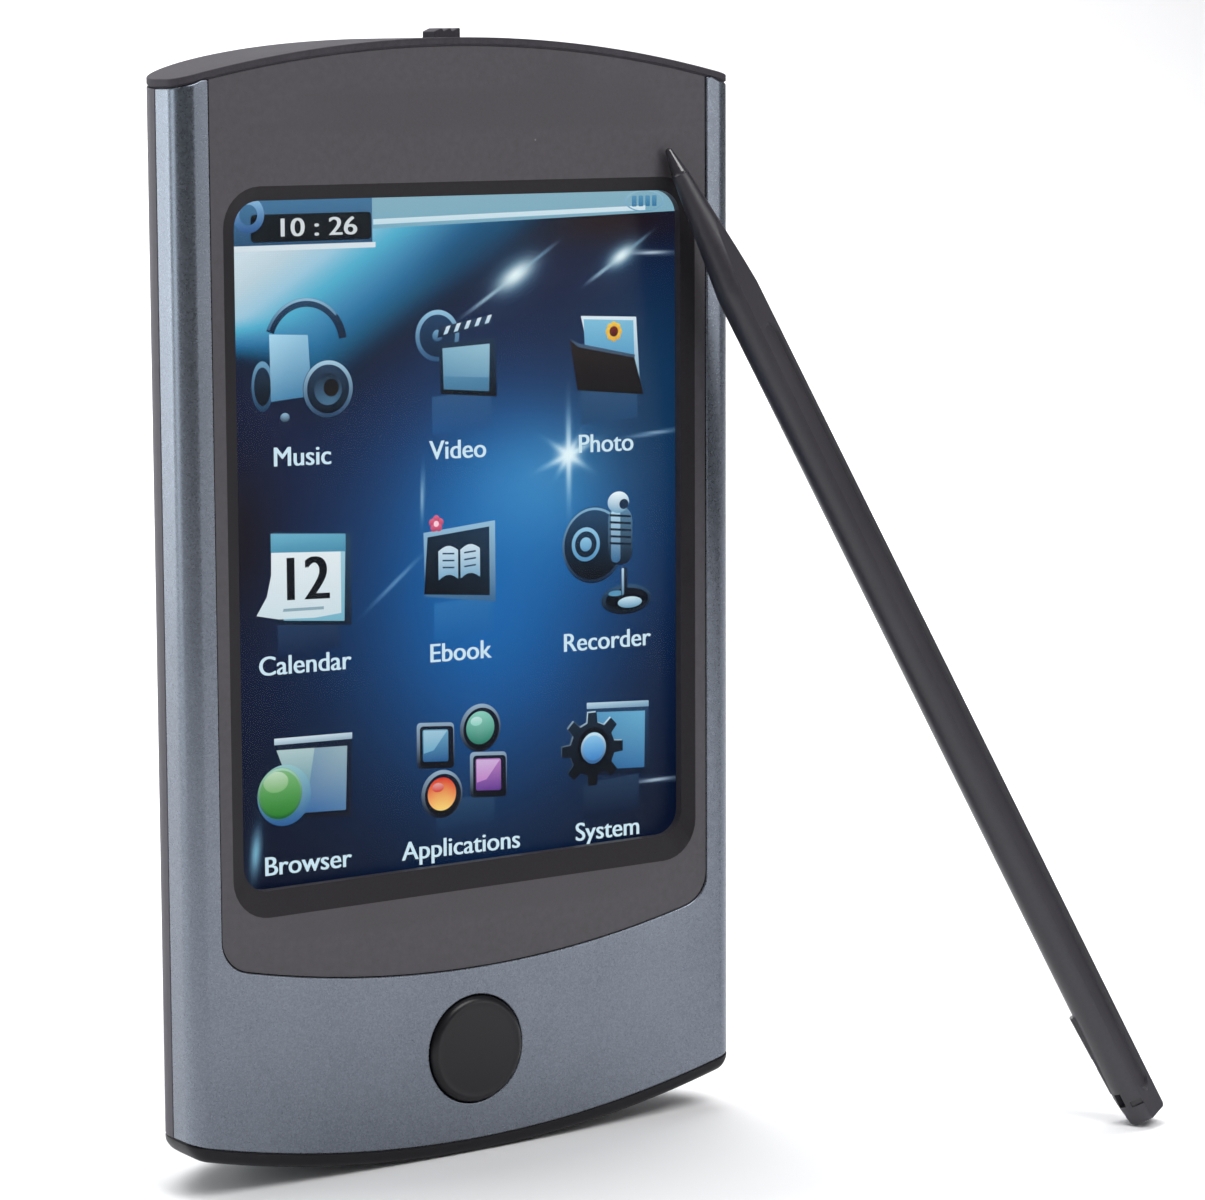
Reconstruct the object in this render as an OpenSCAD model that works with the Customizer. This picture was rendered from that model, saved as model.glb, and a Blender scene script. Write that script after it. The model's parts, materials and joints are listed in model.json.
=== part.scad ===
// Personal digital assistant with a touch screen, standing on its arched base,
// with its stylus leaning on the front.
// X runs across the front, the front faces -Y and Z is up. The origin is on the
// floor, at the middle of the small flat land under the base.

/* [Body] */
// Width across the metal sides
body_w = 55.7; // [55:0.1:57]
// Height at the middle, without the hold switch
body_h = 96.4; // [95.8:0.1:98]
// Thickness at the middle
body_t = 13.6; // [13.6:0.1:14.2]
// Radius of the arched top
top_r = 117; // [110:1:140]
// Radius of the arched base
base_r = 107; // [105:1:130]
// Radius of the long front edges
edge_r = 1.65; // [1.3:0.05:1.9]
// Depth of the metal sides behind the front face
side_depth = 3.7; // [3.6:0.05:3.9]
// Width of the flat zone down the middle of the back
back_flat_w = 18; // [14:0.5:19]
// Width of the flat land under the base
land_w = 5; // [3:0.5:7]

/* [Walls] */
// Wall of the metal front frame
frame_wall = 0.8; // [0.6:0.05:0.8]
// Wall of the moulded rear cover
cover_wall = 1.2; // [0.9:0.05:1.2]
// Thickness of the top cap
top_cap_t = 0.75; // [0.65:0.05:0.8]
// Thickness of the base cap
base_cap_t = 1.3; // [1.1:0.05:1.4]
// Size of the chamfer at the two ends of the base cap
base_chamfer = 1.45; // [0.8:0.05:1.6]

/* [Front panel] */
// Width of the panel
panel_w = 49.5; // [49:0.1:50]
// Height of the lowest point of the panel's arched lower edge
panel_low = 16.6; // [16:0.1:17.5]
// Radius of the arched lower edge
panel_r = 99.6; // [90:0.2:130]
// Radius of the two lower corners
panel_corner_r = 3; // [2:0.1:4]
// How far the panel lies behind the frame's face
panel_recess = 0.15; // [0.1:0.05:0.2]
// Gap between the panel and the frame
panel_gap = 0.15; // [0.1:0.05:0.2]

/* [Window] */
// Height of the window's centre
window_z = 53.85; // [53.5:0.05:54.2]
// Outer width of the bevel round the window
bevel_w = 47.4; // [46.4:0.1:47.8]
// Outer height of the bevel round the window
bevel_h = 60.9; // [60:0.1:61.4]
// Width of the sight opening
sight_w = 44.9; // [44.2:0.1:45]
// Height of the sight opening
sight_h = 57.5; // [57:0.1:58]
// Height of the sight opening's centre
sight_z = 54.35; // [54.2:0.05:54.5]
// Depth of the bevel
bevel_depth = 0.45; // [0.3:0.05:0.5]

/* [Controls] */
// Diameter of the home button
button_d = 9.35; // [8.6:0.05:9.8]
// Height of the home button's centre
button_z = 9.25; // [9.1:0.05:9.4]
// Travel of the home button
button_travel = 0.4; // [0.2:0.05:0.4]
// How far the home button stands out of the frame
button_proud = 0.5; // [0.2:0.05:0.6]
// Place of the hold switch knob across the top
knob_x = 1.7; // [1.6:0.1:1.8]
// Length of the hold switch knob
knob_l = 2.6; // [2.4:0.1:2.8]
// Travel of the hold switch
knob_travel = 1.6; // [1.2:0.1:1.6]

/* [Stylus] */
// Length of the stylus, tip to tail
stylus_l = 95.9; // [92:0.1:98]
// Diameter of the stylus barrel
stylus_d = 3.9; // [3.6:0.05:4]
// Place of the tail on the floor
stylus_foot = [53.94, -33.4];
// Lean of the stylus from upright
stylus_lean = 26.3; // [26:0.05:26.5]
// Heading of the lean, from +X towards +Y
stylus_heading = 142; // [141.8:0.1:142]

/* [Hidden] */

$fn = 48;
arc_fn = 240;
eps = 0.01;
far = 200;
touch_gap = 0.05;

half_w = body_w / 2;
y_front = -body_t / 2;
y_back = body_t / 2;
y_seam = y_front + side_depth;
land_sag = base_r - sqrt(base_r * base_r - land_w * land_w / 4);

// Layers from the front face to the back
y_panel = y_front + panel_recess;
panel_t = 1.2;
flange_t = 0.5;
flange_w = 0.9;
gasket_t = 0.2;
touch_t = 0.6;
glass_t = 1.2;
backlight_t = 1.3;
sheet_t = 0.2;
plate_t = 0.7;
board_t = 0.8;
y_gasket = y_panel + panel_t;
y_touch = y_gasket + gasket_t;
y_glass = y_touch + touch_t + touch_gap;
y_backlight = y_glass + glass_t;
y_tray_floor = y_backlight + backlight_t;
y_plate = y_tray_floor + sheet_t + touch_gap;
y_plate_back = y_plate + plate_t;
y_board = y_plate_back + 0.25;
y_board_back = y_board + board_t;

// Display stack
stack_w = 48.4;
stack_low = 22.2;
stack_high = 84.9;
display_flex_w = 20;
flex_t = 0.15;

// Chassis and board
chassis_w = 51.8;
chassis_low = 5.2;
chassis_high = 91;
rail_t = 0.8;
rail_low = 12;
rail_high = 88;
board_half_w = 24.5;
board_low = 6;
board_high = 90.5;
boss_x = 14.8;
boss_heights = [20, 88];
boss_r = 2;
boss_bore_r = 0.82;
boss_end = 1.9;
board_screw_spots = [[-21.5, 26], [21.5, 26], [-21.5, 78], [21.5, 78]];
board_screw_r = 0.6;
crystal_spot = [-20, 70];
passive_rows = [27, 28.8, 60.2, 61.8];
fit_gap = 0.02;

// Case screws
case_shank_r = 0.8;
case_head_r = 1.8;
case_head_t = 1.2;
cup_r = 2.6;
cup_floor = 2.4;
head_seat = boss_end + 0.1 + cup_floor;

// Sockets
jack_x = 8.6;
jack_y = 2.5;
jack_bore_r = 1.8;
jack_bore_l = 14;
jack_nose_r = 2.9;
jack_top = body_h - 0.45;
usb_x = -9;
usb_size = [7.7, 3.9, 8];
usb_low = 0.6;
card_x = 9.5;
card_size = [11.4, 1.7, 14.2];
card_low = 1.3;
mic_x = -17.5;
mic_y = 1;
mic_r = 2;

// Speaker
speaker_z = 20;
speaker_r = 7.5;
speaker_t = 3;
mesh_t = 0.2;
speaker_back = y_back - cover_wall - mesh_t;
grille_pitch = 2.2;
grille_hole_r = 0.55;

// Home button
button_r = button_d / 2;
button_gap = 0.1;
button_edge_r = 0.6;
button_flange_r = 5.4;
button_flange_t = 0.55;
y_button = y_front - button_proud;
y_button_flange = y_front + frame_wall + 0.35;
y_switch_top = y_button_flange + button_flange_t + button_travel + 0.1;
button_board_t = 0.8;
y_button_board = y_plate - 0.75 - button_board_t;

// Hold switch
knob_w = 2;
knob_proud = 0.85;
knob_gap = 0.15;
knob_flange = [2 * (knob_travel + 0.3) + knob_l, 3.4, 0.5];
knob_flange_z = body_h - top_cap_t - 0.2 - knob_flange[2];

// Battery
battery_size = [30, 3.6, 48];
battery_y = 1.3;
battery_low = 32;
pad_size = [16, 36];
plug_x = -19.8;
plug_size = [4.4, 2.6, 3.4];
plug_low = 83;
lead_y = battery_y + 0.35;
wire_r = 0.35;

// Stylus
stylus_r = stylus_d / 2;
taper_l = 11.3;
nib_l = 2.6;
nib_r = 0.78;
nib_point_r = 0.34;
nib_shank_r = 0.5;
nib_shank_l = 3.5;
flat_angle = 150;
flat_depth = 0.65;
groove_w = 1.9;
groove_depth = 0.3;
tail_cut_l = 2.6;
tail_cut_depth = 0.5;
rail_l = 10.9;
rail_proud = 0.35;
eye_r = 0.3;
eye_x = stylus_r - 0.75;

// Points of an elliptical arc
function arc_points(cx, cy, rx, ry, from, to, steps) = [
    for (i = [0 : steps])
        let (a = from + (to - from) * i / steps)
            [cx + rx * cos(a), cy + ry * sin(a)]
];

// Plan section of the body, moved in by t all round
function section(t) = concat(
    arc_points(half_w - edge_r, y_front + edge_r, max(edge_r - t, eps), max(edge_r - t, eps), -90, 0, 8),
    arc_points(back_flat_w / 2, y_seam, half_w - back_flat_w / 2 - t, y_back - y_seam - t, 0, 90, 24),
    arc_points(-back_flat_w / 2, y_seam, half_w - back_flat_w / 2 - t, y_back - y_seam - t, 90, 180, 24),
    arc_points(edge_r - half_w, y_front + edge_r, max(edge_r - t, eps), max(edge_r - t, eps), 180, 270, 8)
);

// Height that an arc of radius r loses at a distance x from its middle
function sag(r, x) = r - sqrt(r * r - x * x);

// Front outline between the two arches, moved in by a gap at each
module outline(top_gap, base_gap, w = body_w + 2) {
    intersection() {
        translate([0, body_h - top_r - top_gap]) circle(r = top_r, $fn = arc_fn);
        translate([0, base_r + base_gap - land_sag]) circle(r = base_r, $fn = arc_fn);
        translate([-w / 2, 0]) square([w, body_h]);
    }
}

// Pushes a front outline back from y0 to y1
module slab(y0, y1) {
    translate([0, y1, 0]) rotate([90, 0, 0]) linear_extrude(height = y1 - y0) children();
}

// Solid body, moved in by t all round and by a gap at each arch
module envelope(t, top_gap, base_gap) {
    intersection() {
        linear_extrude(height = body_h) polygon(section(t));
        slab(y_front - 1, y_back + 1) outline(top_gap, base_gap);
    }
}

// Half of the space, in front of the seam or behind it
module half_space(front) {
    translate([-far / 2, front ? y_seam - far : y_seam, -far / 2]) cube([far, far, far]);
}

module rounded_rect(w, h, r) {
    offset(r = r) square([w - 2 * r, h - 2 * r], center = true);
}

// Box given by its x, y and z ranges
module block(x, y, z) {
    translate([x[0], y[0], z[0]]) cube([x[1] - x[0], y[1] - y[0], z[1] - z[0]]);
}

// Cylinder along Y, from y0 to y1
module rod(x, z, r, y0, y1) {
    translate([x, y1, z]) rotate([90, 0, 0]) cylinder(r = r, h = y1 - y0);
}

// Outline of the front panel, grown by a margin at its sides and its lower edge
module panel_shape(grow, top_gap) {
    w = panel_w + 2 * grow;
    intersection() {
        outline(top_gap, base_cap_t, w);
        offset(r = panel_corner_r) offset(delta = -panel_corner_r)
            intersection() {
                translate([-w / 2, 0]) square([w, 2 * body_h]);
                translate([0, panel_low - grow + panel_r]) circle(r = panel_r, $fn = arc_fn);
            }
    }
}

module front_frame() {
    color([0.38, 0.42, 0.47])
        difference() {
            intersection() {
                envelope(0, top_cap_t, base_cap_t);
                half_space(true);
            }
            linear_extrude(height = far, center = true) polygon(section(frame_wall));
            slab(y_front - 1, y_front + frame_wall + eps) panel_shape(panel_gap, -1);
            rod(0, button_z, button_r + button_gap, y_front - 1, y_front + 2);
        }
}

module front_panel() {
    color([0.29, 0.27, 0.29])
        difference() {
            union() {
                slab(y_panel, y_gasket) panel_shape(0, top_cap_t);
                slab(y_gasket - flange_t, y_gasket) panel_shape(flange_w, top_cap_t);
            }
            slab(y_panel - 1, y_gasket + 1)
                translate([0, sight_z]) rounded_rect(sight_w, sight_h, 2.3);
            hull() {
                slab(y_panel - eps, y_panel)
                    translate([0, window_z]) rounded_rect(bevel_w, bevel_h, 3.5);
                slab(y_panel + bevel_depth, y_panel + bevel_depth + eps)
                    translate([0, sight_z]) rounded_rect(sight_w, sight_h, 2.3);
            }
        }
}

module window_gasket() {
    color([0.06, 0.06, 0.07])
        slab(y_gasket, y_touch)
            difference() {
                translate([0, window_z]) square([stack_w, bevel_h + 2.4], center = true);
                translate([0, sight_z]) square([sight_w + 0.2, sight_h + 0.2], center = true);
            }
}

module touch_panel() {
    color([0.75, 0.8, 0.85, 0.4])
        slab(y_touch, y_touch + touch_t)
            translate([0, window_z]) square([stack_w, bevel_h + 2.4], center = true);
}

// Ribbon that leaves the lower edge of the touch panel and turns back to the board
module touch_flex() {
    x = [-22.5, -18.5];
    y = y_touch + 0.2;
    low = 17.5;
    color([0.72, 0.45, 0.12]) {
        block(x, [y, y + flex_t], [low, window_z - bevel_h / 2 - 1.2]);
        block(x, [y, y_board], [low, low + flex_t]);
        block(x, [y_board - flex_t, y_board], [low, 22]);
    }
}

module display_glass() {
    color([0.1, 0.25, 0.45])
        block([-stack_w / 2, stack_w / 2], [y_glass, y_backlight], [stack_low, stack_high]);
}

module display_backlight() {
    color([0.93, 0.93, 0.9])
        block([-stack_w / 2, stack_w / 2], [y_backlight, y_tray_floor], [stack_low, stack_high]);
}

module display_tray() {
    grow = sheet_t + touch_gap;
    color([0.7, 0.71, 0.72])
        difference() {
            block([-stack_w / 2 - grow, stack_w / 2 + grow], [y_glass, y_tray_floor + sheet_t],
                  [stack_low - grow, stack_high + grow]);
            block([-stack_w / 2 - touch_gap, stack_w / 2 + touch_gap], [y_glass - 1, y_tray_floor],
                  [stack_low - touch_gap, stack_high + touch_gap]);
            block([-display_flex_w / 2 - 0.5, display_flex_w / 2 + 0.5], [y_glass - 1, y_plate],
                  [stack_low - 1, stack_low + 1]);
        }
}

// Ribbon that folds from the lower edge of the display round to the board
module display_flex() {
    y_mid = (y_backlight - flex_t + y_board) / 2;
    bend_r = (y_board - y_backlight + flex_t) / 2;
    fold_z = stack_low - 1.2;
    x = [-display_flex_w / 2, display_flex_w / 2];
    color([0.72, 0.45, 0.12]) {
        translate([x[0], y_mid, fold_z]) rotate([90, 0, 90])
            linear_extrude(height = display_flex_w)
                difference() {
                    circle(r = bend_r);
                    circle(r = bend_r - flex_t);
                    translate([-bend_r - 1, 0]) square([2 * bend_r + 2, bend_r + 1]);
                }
        block(x, [y_mid - bend_r, y_mid - bend_r + flex_t], [fold_z, stack_low]);
        block(x, [y_board - flex_t, y_board], [fold_z, fold_z + 5]);
    }
}

module chassis() {
    rail_x = chassis_w / 2 - rail_t;
    color([0.2, 0.2, 0.22])
        difference() {
            union() {
                block([-chassis_w / 2, chassis_w / 2], [y_plate, y_plate_back], [chassis_low, chassis_high]);
                for (side = [-1, 1])
                    translate([side > 0 ? rail_x : -chassis_w / 2, y_gasket + touch_gap, rail_low])
                        cube([rail_t, y_plate - y_gasket, rail_high - rail_low]);
                for (side = [-1, 1], z = boss_heights)
                    rod(side * boss_x, z, boss_r, y_plate_back - eps, boss_end);
                for (side = [-1, 1], z = [6.2, 12.6])
                    rod(side * 7.6, z, 1, y_button_board + button_board_t, y_plate + eps);
                for (spot = board_screw_spots)
                    rod(spot[0], spot[1], 1.6, y_plate_back - eps, y_board);
            }
            for (side = [-1, 1], z = boss_heights)
                rod(side * boss_x, z, boss_bore_r, y_plate_back + 0.2, boss_end + 1);
            for (spot = board_screw_spots)
                rod(spot[0], spot[1], board_screw_r + fit_gap, y_plate - 1, y_board + 1);
            block([-11, 11], [y_plate - 1, y_plate_back + 1], [18.8, 21.4]);
            block([-23, -18], [y_plate - 1, y_plate_back + 1], [16.8, 18.6]);
        }
}

module main_board() {
    color([0.06, 0.3, 0.16])
        difference() {
            block([-board_half_w, board_half_w], [y_board, y_board_back], [board_low, board_high]);
            for (side = [-1, 1], z = boss_heights)
                rod(side * boss_x, z, boss_r + 0.3, y_board - 1, y_board_back + 1);
            for (spot = board_screw_spots)
                rod(spot[0], spot[1], board_screw_r + 0.15, y_board - 1, y_board_back + 1);
        }
}

// Chip on the back of the board: body and a row of legs on two sides
module chip(x, z, w, h, t, legs = 0) {
    body_w = legs > 0 ? w - 1.6 : w;
    translate([x - body_w / 2, y_board_back, z - h / 2]) cube([body_w, t, h]);
    for (i = [0 : 1 : legs - 1], side = [-1, 1])
        translate([x + side * (w / 2 - 0.425) - 0.425, y_board_back, z + (i - (legs - 1) / 2) * 1.27 - 0.2])
            cube([0.85, 0.35, 0.4]);
}

module processor_chip() {
    color([0.1, 0.1, 0.11]) chip(-10, 70, 13, 13, 1.1);
}

module memory_chip() {
    color([0.1, 0.1, 0.11]) chip(6, 70, 12, 10, 1.1, 7);
}

module storage_chip() {
    color([0.1, 0.1, 0.11]) chip(-8, 50, 14, 18, 1.1, 12);
}

module power_chip() {
    color([0.1, 0.1, 0.11]) chip(-20.5, 60, 5, 5, 0.9);
}

module audio_chip() {
    color([0.1, 0.1, 0.11]) chip(19, 52, 6, 6, 0.9);
}

module clock_crystal() {
    r = 1.5;
    half_l = 1.6;
    color([0.75, 0.75, 0.77]) {
        for (side = [-1, 1])
            rod(crystal_spot[0] + side * half_l, crystal_spot[1], r, y_board_back, y_board_back + 1);
        block([crystal_spot[0] - half_l, crystal_spot[0] + half_l], [y_board_back, y_board_back + 1],
              [crystal_spot[1] - r, crystal_spot[1] + r]);
    }
}

// Small capacitors and resistors in rows
module board_passives() {
    color([0.6, 0.5, 0.4])
        for (z = passive_rows, i = [0 : 6])
            translate([-11 + 3.4 * i, y_board_back, z]) cube([1.6, 0.6, 0.8]);
}

module battery() {
    r = 1.2;
    color([0.78, 0.79, 0.8])
        hull()
            for (dx = [-1, 1], dz = [0, 1])
                translate([dx * (battery_size[0] / 2 - r), battery_y + battery_size[1] / 2,
                           battery_low + r + dz * (battery_size[2] - 2 * r)])
                    rotate([90, 0, 0]) cylinder(r = r, h = battery_size[1], center = true, $fn = 32);
}

module battery_pad() {
    z_mid = battery_low + battery_size[2] / 2;
    color([0.15, 0.15, 0.16])
        block([-pad_size[0] / 2, pad_size[0] / 2], [battery_y + battery_size[1], y_back - cover_wall],
              [z_mid - pad_size[1] / 2, z_mid + pad_size[1] / 2]);
}

module battery_plug() {
    x0 = plug_x - plug_size[0] / 2;
    y0 = y_board_back;
    color([0.92, 0.9, 0.84])
        difference() {
            block([x0, x0 + plug_size[0]], [y0, y0 + plug_size[1]], [plug_low, plug_low + plug_size[2]]);
            block([x0 + 0.5, x0 + plug_size[0] - 0.5], [lead_y - 0.55, lead_y + 0.55],
                  [plug_low - 1, plug_low + 2]);
        }
}

// Two wires from the top edge of the battery into its plug
module battery_lead() {
    top = battery_low + battery_size[2];
    colours = [[0.7, 0.08, 0.06], [0.05, 0.05, 0.06]];
    for (i = [0, 1]) {
        x_from = -8 - 1.6 * i;
        x_to = plug_x - 0.9 + 1.8 * i;
        z = top + 1.9 - 1.1 * i;
        color(colours[i]) {
            translate([x_from, lead_y, top]) cylinder(r = wire_r, h = z - top);
            translate([x_from, lead_y, z]) sphere(r = wire_r);
            translate([x_to, lead_y, z]) rotate([0, 90, 0]) cylinder(r = wire_r, h = x_from - x_to);
            translate([x_to, lead_y, z]) sphere(r = wire_r);
            translate([x_to, lead_y, z]) cylinder(r = wire_r, h = plug_low + 1.8 - z);
        }
    }
}

module speaker() {
    color([0.15, 0.15, 0.16])
        rod(0, speaker_z, speaker_r, speaker_back - speaker_t, speaker_back);
}

module speaker_mesh() {
    color([0.08, 0.08, 0.08])
        rod(0, speaker_z, speaker_r - 0.4, speaker_back, speaker_back + mesh_t);
}

module microphone() {
    color([0.7, 0.7, 0.7])
        translate([mic_x, mic_y, base_cap_t + sag(base_r, mic_x - mic_r)]) cylinder(r = mic_r, h = 1.5);
}

module headphone_jack() {
    low = jack_top - jack_bore_l - 1.4;
    color([0.08, 0.08, 0.09])
        difference() {
            union() {
                block([jack_x - 3, jack_x + 3], [y_board_back, jack_y + 2.6], [low, body_h - 2.2]);
                translate([jack_x, jack_y, low]) cylinder(r = jack_nose_r - 0.4, h = jack_top - low);
                translate([jack_x, jack_y, jack_top - 1.9]) cylinder(r = jack_nose_r, h = 1.9);
            }
            translate([jack_x, jack_y, jack_top - jack_bore_l])
                cylinder(r = jack_bore_r, h = jack_bore_l + 1);
        }
}

module usb_socket() {
    w = usb_size[0];
    t = usb_size[1];
    x0 = usb_x - w / 2;
    color([0.75, 0.76, 0.78])
        difference() {
            block([x0, x0 + w], [y_board_back, y_board_back + t], [usb_low, usb_low + usb_size[2]]);
            block([x0 + 0.35, x0 + w - 0.35], [y_board_back + 0.35, y_board_back + t - 0.35],
                  [usb_low - 1, usb_low + 6.5]);
        }
    color([0.08, 0.08, 0.08])
        block([usb_x - 2.5, usb_x + 2.5], [y_board_back + 1.5, y_board_back + 2.3],
              [usb_low + 0.8, usb_low + 7]);
}

module card_socket() {
    w = card_size[0];
    t = card_size[1];
    x0 = card_x - w / 2;
    color([0.75, 0.76, 0.78])
        difference() {
            block([x0, x0 + w], [y_board_back, y_board_back + t], [card_low, card_low + card_size[2]]);
            block([x0 + 0.2, x0 + w - 0.2], [y_board_back + 0.35, y_board_back + t - 0.35],
                  [card_low - 1, card_low + 12.5]);
        }
}

module hold_switch_base() {
    color([0.7, 0.7, 0.72])
        difference() {
            block([-3, 5.2], [y_board_back, y_board_back + 2.6], [89, 93.2]);
            block([knob_x - knob_travel - 1, knob_x + 1], [0.55, 1.45], [91.5, 94]);
        }
}

// Knob with three saw teeth, the plate that covers its slot and the leg to the switch
module hold_switch_knob() {
    top = body_h + knob_proud;
    tooth = knob_l / 3;
    color([0.1, 0.1, 0.11])
        translate([knob_x, 0, 0]) {
            translate([0, knob_w / 2, 0]) rotate([90, 0, 0])
                linear_extrude(height = knob_w)
                    polygon(concat(
                        [[knob_l / 2, knob_flange_z], [-knob_l / 2, knob_flange_z]],
                        [for (i = [0 : 2], p = [[0, -0.28], [tooth, 0]])
                            [i * tooth - knob_l / 2 + p[0], top + p[1]]]
                    ));
            translate([-knob_flange[0] / 2, -knob_flange[1] / 2, knob_flange_z]) cube(knob_flange);
            block([-0.7, 0.7], [0.65, 1.35], [91.8, knob_flange_z + eps]);
        }
}

// Round button with a rounded edge and a flange behind the frame
module home_button() {
    flange_front = y_button_flange - y_button;
    flange_back = flange_front + button_flange_t;
    edge = arc_points(button_r - button_edge_r, button_edge_r, button_edge_r, button_edge_r, -90, 0, 6);
    color([0.1, 0.1, 0.11])
        translate([0, y_button, button_z]) rotate([-90, 0, 0])
            rotate_extrude($fn = 96)
                polygon(concat(
                    [[0, 0]], edge,
                    [[button_r, flange_front], [button_flange_r, flange_front],
                     [button_flange_r, flange_back], [0, flange_back]]
                ));
}

module button_switch() {
    color([0.8, 0.8, 0.78]) {
        block([-2.1, 2.1], [y_switch_top + 0.3, y_button_board], [button_z - 2.1, button_z + 2.1]);
        rod(0, button_z, 1, y_switch_top, y_switch_top + 0.3 + eps);
    }
}

module button_board() {
    color([0.06, 0.3, 0.16])
        block([-9, 9], [y_button_board, y_button_board + button_board_t], [5.2, 13.8]);
}

// Clip that holds a cap inside the metal sides
module cap_clips(low, high) {
    for (side = [-1, 1])
        translate([side > 0 ? half_w - frame_wall - 1 : frame_wall + 0.15 - half_w, y_front + 1.6, low])
            cube([0.85, 1.9, high - low]);
}

module top_cap() {
    knob_left = knob_x - knob_l / 2 - knob_travel - knob_gap;
    clip_top = body_h - top_cap_t / 2 - sag(top_r, half_w - frame_wall - 0.6);
    color([0.35, 0.34, 0.36])
        difference() {
            union() {
                difference() {
                    envelope(0, 0, 1);
                    slab(y_front - 2, y_back + 2) outline(top_cap_t, -2, far);
                }
                cap_clips(clip_top - 3, clip_top);
            }
            block([knob_left, knob_x + knob_l / 2 + knob_gap],
                  [-knob_w / 2 - knob_gap, knob_w / 2 + knob_gap], [body_h - 3, body_h + 1]);
            translate([jack_x, jack_y, body_h - 4]) cylinder(r = jack_nose_r + 0.1, h = 6);
        }
}

module base_cap() {
    side_top = base_cap_t - land_sag + sag(base_r, half_w);
    in_x = half_w - base_chamfer;
    in_z = sag(base_r, in_x) - land_sag;
    clip_low = base_cap_t / 2 + sag(base_r, half_w - frame_wall - 0.6);
    color([0.13, 0.12, 0.14])
        difference() {
            union() {
                difference() {
                    envelope(0, 1, 0);
                    slab(y_front - 2, y_back + 2) outline(-2, base_cap_t, far);
                }
                cap_clips(clip_low, clip_low + 3);
            }
            for (side = [-1, 1])
                slab(y_front - 1, y_back + 1)
                    polygon([[side * in_x, in_z - eps], [side * (half_w + 1), -1],
                             [side * (half_w + 1), side_top], [side * half_w, side_top - 0.2]]);
            block([usb_x - usb_size[0] / 2 - 0.15, usb_x + usb_size[0] / 2 + 0.15],
                  [y_board_back - 0.15, y_board_back + usb_size[1] + 0.15], [-1, 4]);
            block([card_x - card_size[0] / 2 - 0.15, card_x + card_size[0] / 2 + 0.15],
                  [y_board_back - 0.15, y_board_back + card_size[1] + 0.15], [-1, 4]);
            translate([mic_x, mic_y, 0]) cylinder(r = 0.5, h = 5);
        }
}

module rear_cover() {
    color([0.2, 0.19, 0.22])
        difference() {
            union() {
                difference() {
                    intersection() {
                        envelope(0, top_cap_t, base_cap_t);
                        half_space(false);
                    }
                    linear_extrude(height = far, center = true) polygon(section(cover_wall));
                }
                intersection() {
                    envelope(cover_wall / 2, top_cap_t, base_cap_t);
                    for (side = [-1, 1], z = boss_heights)
                        rod(side * boss_x, z, cup_r, boss_end + 0.1, y_back);
                }
            }
            for (side = [-1, 1], z = boss_heights) {
                rod(side * boss_x, z, case_shank_r + 0.15, 0, y_back + 1);
                rod(side * boss_x, z, case_head_r + 0.15, head_seat, y_back + 1);
            }
            rod(0, speaker_z, grille_hole_r, speaker_back, y_back + 1);
            for (ring = [1, 2], i = [0 : 6 * ring - 1])
                let (r = ring * grille_pitch, a = 60 * i / ring)
                    rod(r * cos(a), speaker_z + r * sin(a), grille_hole_r, speaker_back, y_back + 1);
        }
}

module case_screws() {
    color([0.3, 0.3, 0.32])
        for (side = [-1, 1], z = boss_heights)
            difference() {
                union() {
                    rod(side * boss_x, z, case_shank_r, y_plate_back + 0.4, head_seat + eps);
                    rod(side * boss_x, z, case_head_r, head_seat, head_seat + case_head_t);
                }
                for (a = [0, 90])
                    translate([side * boss_x, head_seat + case_head_t, z]) rotate([0, a, 0])
                        cube([2, 1, 0.4], center = true);
            }
}

module board_screws() {
    color([0.7, 0.7, 0.7])
        for (spot = board_screw_spots)
            difference() {
                union() {
                    rod(spot[0], spot[1], board_screw_r, y_plate + 0.1, y_board_back + eps);
                    rod(spot[0], spot[1], 1.3, y_board_back, y_board_back + 0.7);
                }
                for (a = [0, 90])
                    translate([spot[0], y_board_back + 0.7, spot[1]]) rotate([0, a, 0])
                        cube([1.4, 0.6, 0.3], center = true);
            }
}

// Stands a stylus part, drawn with its tail at the origin and its tip up, in its place
module lean_stylus() {
    foot_z = (stylus_r - tail_cut_depth) * sin(stylus_lean);
    translate([stylus_foot[0], stylus_foot[1], foot_z])
        rotate([0, stylus_lean, stylus_heading]) children();
}

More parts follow.
